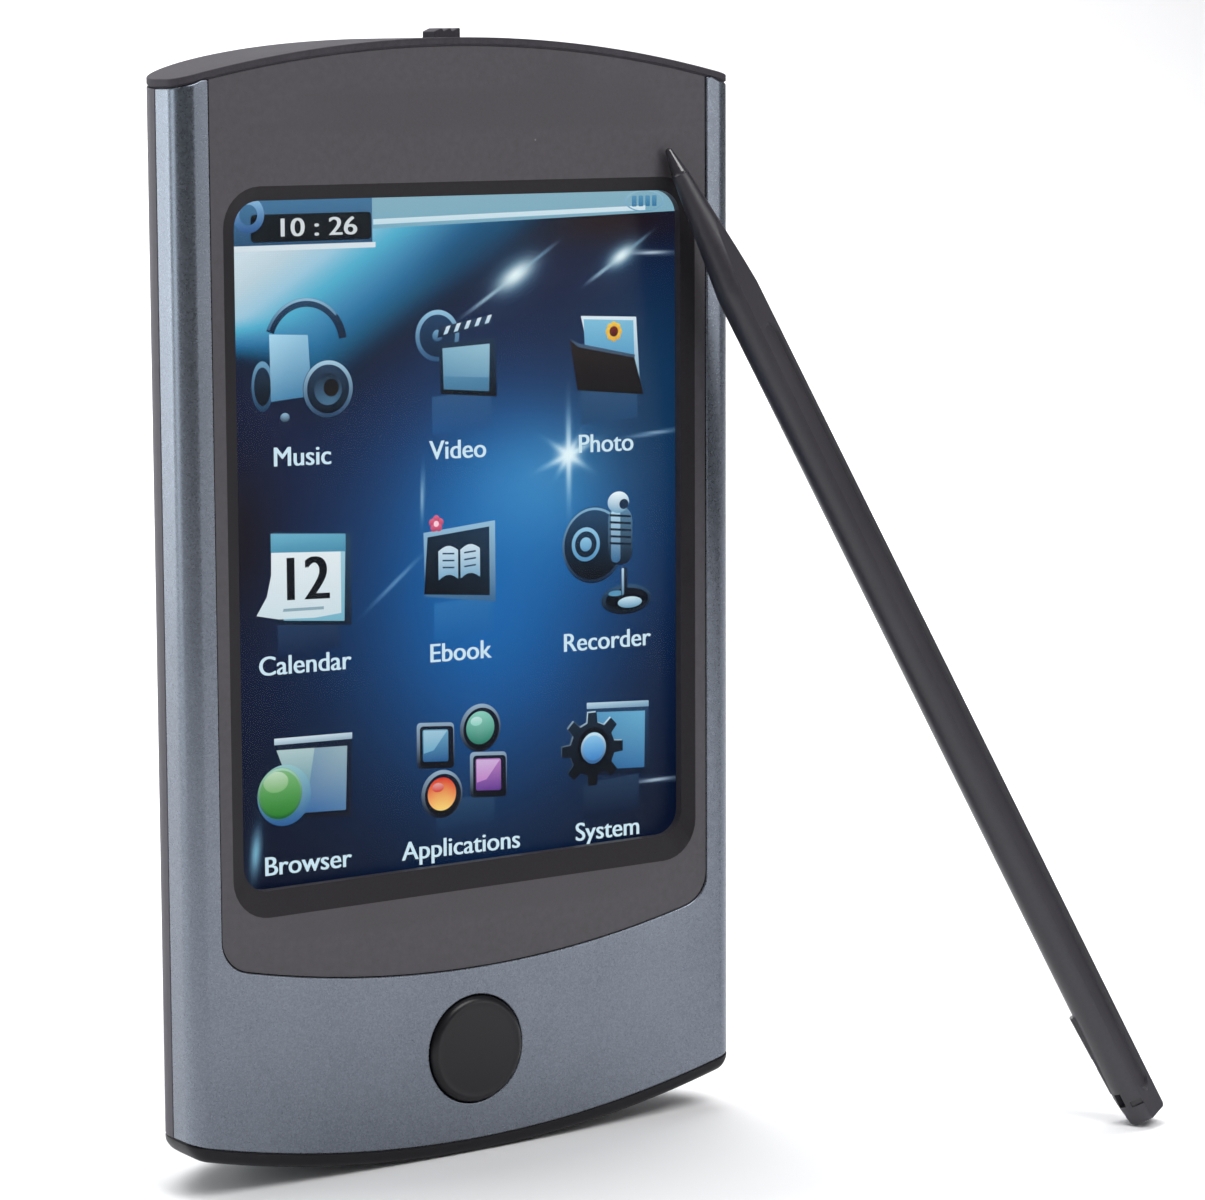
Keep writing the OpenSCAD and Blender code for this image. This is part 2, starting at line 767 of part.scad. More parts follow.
module stylus_barrel() {
    shoulder = stylus_l - nib_l - taper_l;
    flat_x = stylus_r - flat_depth;
    cut_angle = atan(tail_cut_depth / tail_cut_l);
    color([0.13, 0.13, 0.14])
        lean_stylus()
            difference() {
                union() {
                    cylinder(r = stylus_r, h = shoulder);
                    translate([0, 0, shoulder]) cylinder(r1 = stylus_r, r2 = nib_r, h = taper_l);
                    translate([stylus_r - 0.5, -0.6, 0]) cube([0.5 + rail_proud, 1.2, rail_l]);
                }
                rotate([0, 0, flat_angle]) {
                    translate([flat_x, -3, -1]) cube([3, 6, stylus_l + 2]);
                    translate([flat_x - groove_depth, -groove_w / 2, 3.4]) cube([3, groove_w, shoulder - 8]);
                    translate([flat_x - groove_depth, 0, 3.4]) rotate([0, 90, 0])
                        cylinder(r = groove_w / 2, h = 3);
                    translate([flat_x - groove_depth, 0, shoulder - 4.6]) rotate([0, 90, 0])
                        cylinder(r = groove_w / 2, h = 3);
                }
                translate([stylus_r - tail_cut_depth, -4, 0]) rotate([0, cut_angle, 0])
                    translate([0, 0, -3]) cube([4, 8, tail_cut_l + 3.4]);
                translate([stylus_r - 0.1, -1, 5.7]) cube([1, 2, 1]);
                for (z = [1.9, 3.1])
                    translate([eye_x, 0, z]) rotate([90, 0, 0]) cylinder(r = eye_r, h = 5, center = true);
                translate([eye_x - eye_r, -2.5, 1.9]) cube([2 * eye_r, 5, 1.2]);
                translate([-stylus_r, stylus_r - 0.22, 1.7]) cube([2.6, 1, 0.45]);
                translate([0, 0, stylus_l - nib_l - nib_shank_l])
                    cylinder(r = nib_shank_r + fit_gap, h = far);
            }
}

module stylus_tip() {
    base = stylus_l - nib_l;
    color([0.1, 0.1, 0.11])
        lean_stylus() {
            translate([0, 0, base - nib_shank_l + 0.2]) cylinder(r = nib_shank_r, h = nib_shank_l);
            translate([0, 0, base + fit_gap])
                cylinder(r1 = nib_r, r2 = nib_point_r, h = nib_l - nib_point_r - fit_gap);
            translate([0, 0, stylus_l - nib_point_r]) sphere(r = nib_point_r);
        }
}

front_frame();
front_panel();
window_gasket();
touch_panel();
touch_flex();
display_glass();
display_backlight();
display_tray();
display_flex();
chassis();
main_board();
processor_chip();
memory_chip();
storage_chip();
power_chip();
audio_chip();
clock_crystal();
board_passives();
battery();
battery_pad();
battery_plug();
battery_lead();
speaker();
speaker_mesh();
microphone();
headphone_jack();
usb_socket();
card_socket();
hold_switch_base();
hold_switch_knob();
home_button();
button_switch();
button_board();
top_cap();
base_cap();
rear_cover();
case_screws();
board_screws();
stylus_barrel();
stylus_tip();
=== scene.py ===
"""A pocket organiser with a touch screen and its stylus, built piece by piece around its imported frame.

The file is laid out as an add-on: sizes and colours are properties, each group of pieces is an operator,
and a panel lists them. Every length is in metres, X runs across the front, the front faces -Y, Z is up."""
import json
import math
from bisect import bisect_right

import bmesh
import bpy
import numpy as np
from mathutils import Matrix, Vector
from mathutils.geometry import delaunay_2d_cdt

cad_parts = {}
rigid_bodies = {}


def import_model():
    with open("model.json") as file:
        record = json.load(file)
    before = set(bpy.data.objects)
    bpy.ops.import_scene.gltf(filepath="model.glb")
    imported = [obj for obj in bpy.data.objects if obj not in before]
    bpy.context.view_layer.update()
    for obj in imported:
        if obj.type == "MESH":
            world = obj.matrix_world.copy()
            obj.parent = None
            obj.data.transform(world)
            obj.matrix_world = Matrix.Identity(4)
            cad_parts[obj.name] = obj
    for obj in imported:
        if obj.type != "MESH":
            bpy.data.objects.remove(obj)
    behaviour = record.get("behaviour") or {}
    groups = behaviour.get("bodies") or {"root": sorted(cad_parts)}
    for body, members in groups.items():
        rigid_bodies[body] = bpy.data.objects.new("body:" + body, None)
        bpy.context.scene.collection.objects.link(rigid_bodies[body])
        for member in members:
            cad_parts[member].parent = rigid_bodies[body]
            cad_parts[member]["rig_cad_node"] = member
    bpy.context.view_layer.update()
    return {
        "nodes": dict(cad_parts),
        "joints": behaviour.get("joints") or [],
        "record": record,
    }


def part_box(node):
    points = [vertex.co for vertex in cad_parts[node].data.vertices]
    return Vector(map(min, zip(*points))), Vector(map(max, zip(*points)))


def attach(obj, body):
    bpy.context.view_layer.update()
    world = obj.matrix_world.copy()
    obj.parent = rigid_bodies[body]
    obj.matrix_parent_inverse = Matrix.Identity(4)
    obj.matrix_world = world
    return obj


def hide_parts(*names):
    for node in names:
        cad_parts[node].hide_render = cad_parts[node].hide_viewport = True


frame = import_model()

bl_info = {
    "name": "Pocket organiser",
    "version": (1, 0, 0),
    "blender": (4, 5, 0),
    "location": "View3D > Sidebar > Organiser",
    "description": "Builds a pocket organiser and its stylus from named sizes and finishes",
    "category": "Add Mesh",
}

MM = 0.001


def cad(node):
    """Lowest and highest corner of a frame node."""
    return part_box(node)


FRAME_LOW, FRAME_HIGH = cad("front_frame")
PANEL_LOW, PANEL_HIGH = cad("front_panel")
CAP_HIGH = cad("top_cap")[1]
REAR_HIGH = cad("rear_cover")[1]
BUTTON_LOW, BUTTON_HIGH = cad("home_button")
GLASS_LOW = cad("display_glass")[0]
KNOB_LOW, KNOB_HIGH = cad("hold_switch_knob")
JACK_LOW, JACK_HIGH = cad("headphone_jack")
USB_LOW, USB_HIGH = cad("usb_socket")
CARD_LOW, CARD_HIGH = cad("card_socket")
SPEAKER_LOW, SPEAKER_HIGH = cad("speaker")
SCREWS_LOW, SCREWS_HIGH = cad("case_screws")

HALF_W = FRAME_HIGH.x
HEIGHT = CAP_HIGH.z
Y_FRONT = FRAME_LOW.y
Y_SEAM = FRAME_HIGH.y
Y_BACK = REAR_HIGH.y


# ---------------------------------------------------------------- sizes and colours


def length(name, text, value):
    return bpy.props.FloatProperty(name=name, description=text, default=value, unit="LENGTH", precision=5)


def colour(name, text, value):
    return bpy.props.FloatVectorProperty(
        name=name, description=text, default=value, subtype="COLOR", size=3, min=0.0, max=1.0
    )


class OrganiserSizes(bpy.types.PropertyGroup):
    """Sizes of the case that the frame's boxes don't give"""

    top_radius: length("Top radius", "Radius of the arched top", 117 * MM)
    base_radius: length("Base radius", "Radius of the arched base", 107 * MM)
    base_land: length("Base land", "Width of the flat land under the base", 5 * MM)
    edge_radius: length("Edge radius", "Radius of the long front edges", 1.65 * MM)
    back_flat: length("Back flat", "Width of the flat zone down the back", 18 * MM)
    frame_wall: length("Frame wall", "Wall of the metal frame", 0.8 * MM)
    cover_wall: length("Cover wall", "Wall of the rear cover", 1.2 * MM)
    top_cap: length("Top cap", "Thickness of the top cap", 0.75 * MM)
    base_cap: length("Base cap", "Thickness of the base cap", 1.3 * MM)
    base_chamfer: length("Base chamfer", "Chamfer at the ends of the base cap", 1.45 * MM)
    panel_width: length("Panel width", "Width of the front panel", 49.5 * MM)
    panel_low: length("Panel low point", "Height of the lowest point of the panel", 16.6 * MM)
    panel_radius: length("Panel radius", "Radius of the panel's arched lower edge", 99.6 * MM)
    panel_corner: length("Panel corner", "Radius of the panel's lower corners", 3 * MM)
    panel_gap: length("Panel gap", "Gap between the panel and the frame", 0.15 * MM)
    window_z: length("Window height", "Height of the window's centre", 53.85 * MM)
    bevel_width: length("Bevel width", "Outer width of the window's bevel", 47.4 * MM)
    bevel_height: length("Bevel height", "Outer height of the window's bevel", 60.9 * MM)
    bevel_depth: length("Bevel depth", "Depth of the window's bevel", 0.45 * MM)
    sight_width: length("Sight width", "Width of the sight opening", 44.9 * MM)
    sight_height: length("Sight height", "Height of the sight opening", 57.5 * MM)
    sight_z: length("Sight centre", "Height of the sight opening's centre", 54.35 * MM)
    picture_width: length("Picture width", "Width of the lit picture", 46.4 * MM)
    picture_height: length("Picture height", "Height of the lit picture", 60.4 * MM)
    picture_z: length("Picture height above floor", "Height of the picture's centre", 54.1 * MM)
    stylus_diameter: length("Stylus diameter", "Diameter of the stylus barrel", 3.9 * MM)
    stylus_nib: length("Stylus nib", "Length of the gloss nib", 2.6 * MM)
    stylus_nib_diameter: length("Nib diameter", "Diameter of the nib where it meets the barrel", 1.56 * MM)
    stylus_taper: length("Stylus taper", "Length of the taper behind the nib", 11.3 * MM)


class OrganiserColours(bpy.types.PropertyGroup):
    """Colours of the visible finishes"""

    lacquer: colour("Lacquer", "Blue-grey metallic lacquer of the frame", (0.150, 0.168, 0.200))
    lacquer_deep: colour("Lacquer shade", "Darker tone in the lacquer", (0.130, 0.147, 0.177))
    panel: colour("Panel", "Warm dark grey of the front panel", (0.045, 0.041, 0.048))
    cap: colour("Top cap", "Grey-mauve of the top cap", (0.046, 0.042, 0.050))
    base: colour("Base cap", "Near black of the base cap", (0.0125, 0.0118, 0.0145))
    cover: colour("Rear cover", "Plum grey of the rear cover", (0.055, 0.050, 0.062))
    button: colour("Home button", "Near black of the home button", (0.0085, 0.0080, 0.0100))
    stylus: colour("Stylus", "Near black of the stylus", (0.0340, 0.0315, 0.0385))
    floor: colour("Floor", "Pale floor", (0.86, 0.86, 0.87))


def sizes():
    return bpy.context.scene.organiser_sizes


def colours():
    return bpy.context.scene.organiser_colours


# ---------------------------------------------------------------- plane geometry


def sag(radius, x):
    """Height that an arc loses at a distance x from its middle."""
    return radius - math.sqrt(radius * radius - x * x)


def arc(cx, cy, rx, ry, start, end, steps):
    """Points of an elliptical arc, with both ends."""
    points = []
    for i in range(steps + 1):
        a = math.radians(start + (end - start) * i / steps)
        points.append((cx + rx * math.cos(a), cy + ry * math.sin(a)))
    return points


def circle(cx, cy, r, steps):
    return arc(cx, cy, r, r, 0, 360, steps)[:-1]


def spaced(start, end, step):
    """Values from start to end, about a step apart, with both ends."""
    count = max(1, round(abs(end - start) / step))
    return [start + (end - start) * i / count for i in range(count + 1)]


def rounded_box(cx, cy, width, height, r, corner_steps=8, side_step=1.5 * MM):
    """Loop of a rectangle with round corners, counter-clockwise."""
    x, y = width / 2 - r, height / 2 - r
    loop = []
    for k, (sx, sy) in enumerate([(1, 1), (-1, 1), (-1, -1), (1, -1)]):
        loop += arc(cx + sx * x, cy + sy * y, r, r, 90 * k, 90 * k + 90, corner_steps)
        along, runs_x = (2 * x, True) if k % 2 == 0 else (2 * y, False)
        for t in spaced(0, along, side_step)[1:-1]:
            if runs_x:
                px, py = cx + sx * x + (-t if k == 0 else t), cy + sy * (y + r)
            else:
                px, py = cx + sx * (x + r), cy + sy * y + (-t if k == 1 else t)
            loop.append((px, py))
    return loop


def inside(points, loop):
    """For each point, whether it lies inside a closed loop."""
    px, py = points[:, 0], points[:, 1]
    hit = np.zeros(len(points), bool)
    ring = np.array(loop)
    x0, y0 = ring[:, 0], ring[:, 1]
    x1, y1 = np.roll(x0, -1), np.roll(y0, -1)
    for ax, ay, bx, by in zip(x0, y0, x1, y1):
        if ay == by:
            continue
        crosses = (ay > py) != (by > py)
        hit ^= crosses & (px < (bx - ax) * (py - ay) / (by - ay) + ax)
    return hit


def clear_of(points, loop, gap):
    """For each point, whether it is at least a gap away from a loop."""
    ring = np.array(loop)
    nxt = np.roll(ring, -1, axis=0)
    ok = np.ones(len(points), bool)
    for a, b in zip(ring, nxt):
        d = b - a
        size = float(d @ d) or 1e-18
        t = np.clip(((points - a) @ d) / size, 0, 1)
        foot = a + t[:, None] * d
        ok &= ((points - foot) ** 2).sum(1) > gap * gap
    return ok


def fill(outer, holes=(), grid=(), creases=(), gap=0.12 * MM):
    """Triangles over a flat region with holes, with extra points inside and lines that stay edges."""
    loops = [outer, *holes]
    points, edges = [], []
    for loop in loops:
        first, count = len(points), len(loop)
        points += [tuple(p) for p in loop]
        edges += [(first + i, first + (i + 1) % count) for i in range(count)]
    for line in creases:
        first = len(points)
        points += [tuple(p) for p in line]
        edges += [(first + i, first + i + 1) for i in range(len(line) - 1)]
    if len(grid):
        extra = np.array(grid, float)
        keep = inside(extra, outer) & clear_of(extra, outer, gap)
        for hole in holes:
            keep &= ~inside(extra, hole) & clear_of(extra, hole, gap)
        points += [tuple(p) for p in extra[keep]]
    made, _, faces, _, _, _ = delaunay_2d_cdt([Vector(p) for p in points], edges, [], 0, 1e-8)
    made = [tuple(p) for p in made]
    middle = np.array([[sum(made[i][k] for i in f) / len(f) for k in (0, 1)] for f in faces])
    keep = inside(middle, outer)
    for hole in holes:
        keep &= ~inside(middle, hole)
    return made, [tuple(f) for f, k in zip(faces, keep) if k]


def lattice(xs, ys):
    return [(x, y) for x in xs for y in ys]


# ---------------------------------------------------------------- meshes


def wipe(name):
    """Removes an earlier object of the same name, so that an operator can run again."""
    old = bpy.data.objects.get(name)
    if old is not None and "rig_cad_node" not in old:
        bpy.data.objects.remove(old, do_unlink=True)


def to_object(bm, name, weld=2e-7, recalc=True):
    """Turns a bmesh into a linked object at the origin."""
    wipe(name)
    bmesh.ops.remove_doubles(bm, verts=bm.verts, dist=weld)
    bmesh.ops.dissolve_degenerate(bm, edges=bm.edges, dist=1e-8)
    if recalc:
        bmesh.ops.recalc_face_normals(bm, faces=bm.faces)
    for face in bm.faces:
        face.smooth = True
    mesh = bpy.data.meshes.new(name)
    bm.to_mesh(mesh)
    bm.free()
    piece = bpy.data.objects.new(name, mesh)
    bpy.context.scene.collection.objects.link(piece)
    return piece


def soften(piece, width, segments=2, angle=35):
    """Rounds a piece's sharp edges and keeps its flats flat in the shading."""
    if width:
        bevel = piece.modifiers.new("edges", "BEVEL")
        bevel.width = width
        bevel.segments = segments
        bevel.limit_method = "ANGLE"
        bevel.angle_limit = math.radians(angle)
        bevel.harden_normals = True
        bevel.miter_outer = "MITER_ARC"
    weighted = piece.modifiers.new("flats", "WEIGHTED_NORMAL")
    weighted.keep_sharp = True
    return piece


def dress(piece, body, material, replaces=()):
    """Gives a piece its finish, its body and the nodes it stands for."""
    materials = material if isinstance(material, (list, tuple)) else [material]
    piece.data.materials.clear()
    for item in materials:
        piece.data.materials.append(item)
    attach(piece, body)
    if replaces:
        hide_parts(*replaces)
    return piece


def add_region(bm, outer, holes, place, height, grid=(), creases=()):
    """Adds a filled region whose points are lifted to their height and placed in space."""
    points, faces = fill(outer, holes, grid, creases)
    verts = [bm.verts.new(place(u, v, height(u, v))) for u, v in points]
    used = set()
    for face in faces:
        key = frozenset(face)
        if key in used or len(key) < 3:
            continue
        used.add(key)
        bm.faces.new([verts[i] for i in face])
    loose = [v for v in verts if not v.link_faces]
    bmesh.ops.delete(bm, geom=loose, context="VERTS")


def add_wall(bm, rings, place):
    """Joins rings of equal length with quads. A ring is a list of (u, v, height)."""
    rows = [[bm.verts.new(place(*p)) for p in ring] for ring in rings]
    for low, high in zip(rows, rows[1:]):
        for i in range(len(low)):
            j = (i + 1) % len(low)
            bm.faces.new((low[i], low[j], high[j], high[i]))


def solid(outer_rings, hole_rings, place, front, back, grid=(), creases=()):
    """Closed solid between two filled regions, with walls round its outline and its holes."""
    bm = bmesh.new()
    flat = lambda ring: [(p[0], p[1]) for p in ring]
    for k, height in ((0, front), (-1, back)):
        add_region(bm, flat(outer_rings[k]), [flat(h[k]) for h in hole_rings], place, height, grid, creases)
    add_wall(bm, outer_rings, place)
    for rings in hole_rings:
        add_wall(bm, rings, place)
    return bm


def lathe(bm, profile, place, steps=64, closed=True):
    """Turns a profile of (radius, height) round an axis; place maps (x, y, height) to space."""
    rows = []
    for r, h in profile:
        if r < 1e-9:
            rows.append([bm.verts.new(place(0, 0, h))])
            continue
        ring = [bm.verts.new(place(x, y, h)) for x, y in circle(0, 0, r, steps)]
        rows.append(ring)
    pairs = list(zip(rows, rows[1:])) + ([(rows[-1], rows[0])] if closed else [])
    for low, high in pairs:
        for i in range(steps):
            j = (i + 1) % steps
            ring = [low[i % len(low)], low[j % len(low)], high[j % len(high)], high[i % len(high)]]
            unique = list(dict.fromkeys(ring))
            if len(unique) > 2:
                bm.faces.new(unique)


def add_box(bm, low, high, place=None):
    corners = [(x, y, z) for x in (low[0], high[0]) for y in (low[1], high[1]) for z in (low[2], high[2])]
    verts = [bm.verts.new(place(*c) if place else c) for c in corners]
    for quad in ((0, 1, 3, 2), (4, 6, 7, 5), (0, 4, 5, 1), (2, 3, 7, 6), (0, 2, 6, 4), (1, 5, 7, 3)):
        bm.faces.new([verts[i] for i in quad])


def front_place(x, z, y):
    return (x, y, z)


def plan_place(x, y, z):
    return (x, y, z)


class Profile:
    """A curved outline that gives the point and the outward normal at a distance along it."""

    def __init__(self, points):
        self.points = points
        self.at_length = [0.0]
        for a, b in zip(points, points[1:]):
            self.at_length.append(self.at_length[-1] + math.dist(a, b))
        self.length = self.at_length[-1]

    def point(self, s):
        i = min(max(bisect_right(self.at_length, s) - 1, 0), len(self.points) - 2)
        a, b = self.points[i], self.points[i + 1]
        span = self.at_length[i + 1] - self.at_length[i] or 1e-12
        t = (s - self.at_length[i]) / span
        return a[0] + (b[0] - a[0]) * t, a[1] + (b[1] - a[1]) * t

    def normal(self, s):
        e = self.length * 1e-4
        a, b = self.point(max(s - e, 0)), self.point(min(s + e, self.length))
        d = math.dist(a, b)
        return (b[1] - a[1]) / d, -(b[0] - a[0]) / d

    def along(self, value, axis=0):
        """Distance at which the outline crosses a coordinate, counted from its end with that sign."""
        for i in range(len(self.points) - 1):
            a, b = self.points[i][axis], self.points[i + 1][axis]
            if min(a, b) <= value <= max(a, b) and a != b:
                t = (value - a) / (b - a)
                return self.at_length[i] + t * (self.at_length[i + 1] - self.at_length[i])
        raise ValueError("the outline doesn't reach that coordinate")

    def place(self, s, z, depth):
        x, y = self.point(s)
        nx, ny = self.normal(s)
        return (x - nx * depth, y - ny * depth, z)


# ---------------------------------------------------------------- shapes of this case


def joint_top(x, below=0.0):
    """Height of the arched top at x, less a distance."""
    return HEIGHT - sag(sizes().top_radius, x) - below


def joint_base(x, above=0.0):
    """Height of the arched base at x, plus a distance."""
    s = sizes()
    return max(sag(s.base_radius, x) - sag(s.base_radius, s.base_land / 2) + above,
               0.0 if above == 0 else -1.0)


def front_profile():
    """Section of the metal frame from its left seam, round the front, to its right seam."""
    s = sizes()
    r = s.edge_radius
    left = arc(-(HALF_W - r), Y_FRONT + r, r, r, 180, 270, 10)
    right = arc(HALF_W - r, Y_FRONT + r, r, r, 270, 360, 10)
    return Profile([(-HALF_W, Y_SEAM), *left, *right, (HALF_W, Y_SEAM)])


def rear_profile():
    """Section of the rear cover from its right seam, round the back, to its left seam."""
    flat = sizes().back_flat / 2
    rx, ry = HALF_W - flat, Y_BACK - Y_SEAM
    return Profile([*arc(flat, Y_SEAM, rx, ry, 0, 90, 60), *arc(-flat, Y_SEAM, rx, ry, 90, 180, 60)])


def plan_outline(inset=0.0):
    """Outline of the case seen from above, counter-clockwise, moved in by an inset."""
    s = sizes()
    r = s.edge_radius
    flat = s.back_flat / 2
    rx, ry = HALF_W - flat - inset, Y_BACK - Y_SEAM - inset
    edge = r - inset
    loop = [(x, Y_FRONT + inset) for x in spaced(-(HALF_W - r), HALF_W - r, 1 * MM)]
    loop += arc(HALF_W - r, Y_FRONT + r, edge, edge, -90, 0, 8)[1:]
    loop += [(HALF_W - inset, y) for y in spaced(Y_FRONT + r, Y_SEAM, 0.7 * MM)[1:]]
    loop += arc(flat, Y_SEAM, rx, ry, 0, 90, 30)[1:]
    loop += [(x, Y_BACK - inset) for x in spaced(flat, -flat, 1 * MM)[1:]]
    loop += arc(-flat, Y_SEAM, rx, ry, 90, 180, 30)[1:]
    loop += [(-(HALF_W - inset), y) for y in spaced(Y_SEAM, Y_FRONT + r, 0.7 * MM)[1:]]
    loop += arc(-(HALF_W - r), Y_FRONT + r, edge, edge, 180, 270, 8)[1:-1]
    return loop


def panel_lower_edge(grow):
    """The panel's outline from the top of its right side, round its arched lower edge, to the left side."""
    s = sizes()
    w = s.panel_width / 2 + grow
    r = s.panel_corner
    low = s.panel_low - grow
    centre = low + s.panel_radius
    reach = s.panel_radius - r
    corner_z = centre - math.sqrt(reach * reach - (w - r) ** 2)
    swing = math.degrees(math.asin((w - r) / reach))
    edge = [(w, z) for z in spaced(joint_top(w, s.top_cap), corner_z, 1.2 * MM)[:-1]]
    edge += arc(w - r, corner_z, r, r, 0, -90 + swing, 8)
    edge += arc(0, centre, s.panel_radius, s.panel_radius, -90 + swing, -90 - swing, 60)[1:]
    edge += arc(-(w - r), corner_z, r, r, -90 - swing, -180, 8)[1:]
    edge += [(-w, z) for z in spaced(corner_z, joint_top(w, s.top_cap), 1.2 * MM)[1:]]
    return edge


def panel_loop(grow):
    """Closed outline of the front panel: its lower edge and the arc under the top cap."""
    s = sizes()
    w = s.panel_width / 2 + grow
    lower = panel_lower_edge(grow)
    top = [(-w + 2 * w * t, 0) for t in spaced(0, 1, 1 / 60)[1:-1]]
    return lower + [(x, joint_top(x, s.top_cap)) for x, _ in top]


# ---------------------------------------------------------------- shader parts


def group(name, inputs, outputs):
    """A shader node group with named sockets, its input node and its output node."""
    tree = bpy.data.node_groups.get(name)
    if tree is not None:
        return tree, None, None
    tree = bpy.data.node_groups.new(name, "ShaderNodeTree")
    for label, kind, value in inputs:
        socket = tree.interface.new_socket(name=label, in_out="INPUT", socket_type=kind)
        if value is not None:
            socket.default_value = value
    for label, kind in outputs:
        tree.interface.new_socket(name=label, in_out="OUTPUT", socket_type=kind)
    return tree, tree.nodes.new("NodeGroupInput"), tree.nodes.new("NodeGroupOutput")


def maths(tree, operation, a, b=None, clamp=False):
    node = tree.nodes.new("ShaderNodeMath")
    node.operation = operation
    node.use_clamp = clamp
    for i, value in enumerate((a, b)):
        if value is None:
            continue
        if isinstance(value, (int, float)):
            node.inputs[i].default_value = value
        else:
            tree.links.new(value, node.inputs[i])
    return node.outputs[0]


def blend_colours(tree, factor, a, b, mode="MIX"):
    node = tree.nodes.new("ShaderNodeMix")
    node.data_type = "RGBA"
    node.blend_type = mode
    node.clamp_factor = True
    for socket, value in ((node.inputs[0], factor), (node.inputs[6], a), (node.inputs[7], b)):
        if isinstance(value, (int, float)):
            socket.default_value = value
        elif isinstance(value, (tuple, list)) or hasattr(value, "hsv"):
            socket.default_value = (*tuple(value)[:3], 1)
        else:
            tree.links.new(value, socket)
    return node.outputs[2]


def noise(tree, vector, scale, detail=2.0, roughness=0.5):
    node = tree.nodes.new("ShaderNodeTexNoise")
    node.inputs["Detail"].default_value = detail
    node.inputs["Roughness"].default_value = roughness
    tree.links.new(vector, node.inputs["Vector"])
    if isinstance(scale, (int, float)):
        node.inputs["Scale"].default_value = scale
    else:
        tree.links.new(scale, node.inputs["Scale"])
    return node.outputs["Fac"]


def ramp(tree, factor, low, high):
    """Maps a value from low..high to 0..1."""
    node = tree.nodes.new("ShaderNodeMapRange")
    node.inputs["From Min"].default_value = low
    node.inputs["From Max"].default_value = high
    tree.links.new(factor, node.inputs["Value"])
    return node.outputs["Result"]


def grain_group():
    """Fine moulded grain: a height and a tone that follow the same noise."""
    tree, start, end = group(
        "moulded_grain",
        [("Vector", "NodeSocketVector", None), ("Scale", "NodeSocketFloat", 4000.0)],
        [("Height", "NodeSocketFloat"), ("Tone", "NodeSocketFloat")],
    )
    if start is None:
        return tree
    fine = noise(tree, start.outputs["Vector"], start.outputs["Scale"], 3.0, 0.6)
    broad = noise(tree, start.outputs["Vector"], maths(tree, "MULTIPLY", start.outputs["Scale"], 0.02), 3.0)
    tree.links.new(fine, end.inputs["Height"])
    mixed = maths(tree, "ADD", maths(tree, "MULTIPLY", fine, 0.5), maths(tree, "MULTIPLY", broad, 0.5))
    tree.links.new(ramp(tree, mixed, 0.35, 0.65), end.inputs["Tone"])
    return tree


def dust_group():
    """Sparse pale specks of lint and tiny nicks."""
    tree, start, end = group(
        "lint_specks",
        [("Vector", "NodeSocketVector", None), ("Scale", "NodeSocketFloat", 420.0),
         ("Size", "NodeSocketFloat", 0.05)],
        [("Speck", "NodeSocketFloat")],
    )
    if start is None:
        return tree
    cells = tree.nodes.new("ShaderNodeTexVoronoi")
    tree.links.new(start.outputs["Vector"], cells.inputs["Vector"])
    tree.links.new(start.outputs["Scale"], cells.inputs["Scale"])
    split = tree.nodes.new("ShaderNodeSeparateColor")
    tree.links.new(cells.outputs["Color"], split.inputs["Color"])
    near = maths(tree, "LESS_THAN", cells.outputs["Distance"], start.outputs["Size"])
    rare = maths(tree, "GREATER_THAN", split.outputs["Red"], 0.86)
    tree.links.new(maths(tree, "MULTIPLY", near, rare), end.inputs["Speck"])
    return tree


def flake_group():
    """Metal flakes under lacquer: a sparkle mask and a small tilt of the surface."""
    tree, start, end = group(
        "lacquer_flakes",
        [("Vector", "NodeSocketVector", None), ("Scale", "NodeSocketFloat", 6500.0)],
        [("Sparkle", "NodeSocketFloat"), ("Height", "NodeSocketFloat")],
    )
    if start is None:
        return tree
    cells = tree.nodes.new("ShaderNodeTexVoronoi")
    tree.links.new(start.outputs["Vector"], cells.inputs["Vector"])
    tree.links.new(start.outputs["Scale"], cells.inputs["Scale"])
    split = tree.nodes.new("ShaderNodeSeparateColor")
    tree.links.new(cells.outputs["Color"], split.inputs["Color"])
    tree.links.new(split.outputs["Green"], end.inputs["Sparkle"])
    tree.links.new(split.outputs["Blue"], end.inputs["Height"])
    return tree


def wear_group():
    """Where edges have lost their grain: the ridges of a mesh, broken up by noise."""
    tree, start, end = group(
        "edge_wear",
        [("Vector", "NodeSocketVector", None), ("Scale", "NodeSocketFloat", 900.0)],
        [("Wear", "NodeSocketFloat")],
    )
    if start is None:
        return tree
    geometry = tree.nodes.new("ShaderNodeNewGeometry")
    ridge = ramp(tree, geometry.outputs["Pointiness"], 0.505, 0.56)
    broken = ramp(tree, noise(tree, start.outputs["Vector"], start.outputs["Scale"], 4.0), 0.35, 0.7)
    tree.links.new(maths(tree, "MULTIPLY", ridge, broken, clamp=True), end.inputs["Wear"])
    return tree


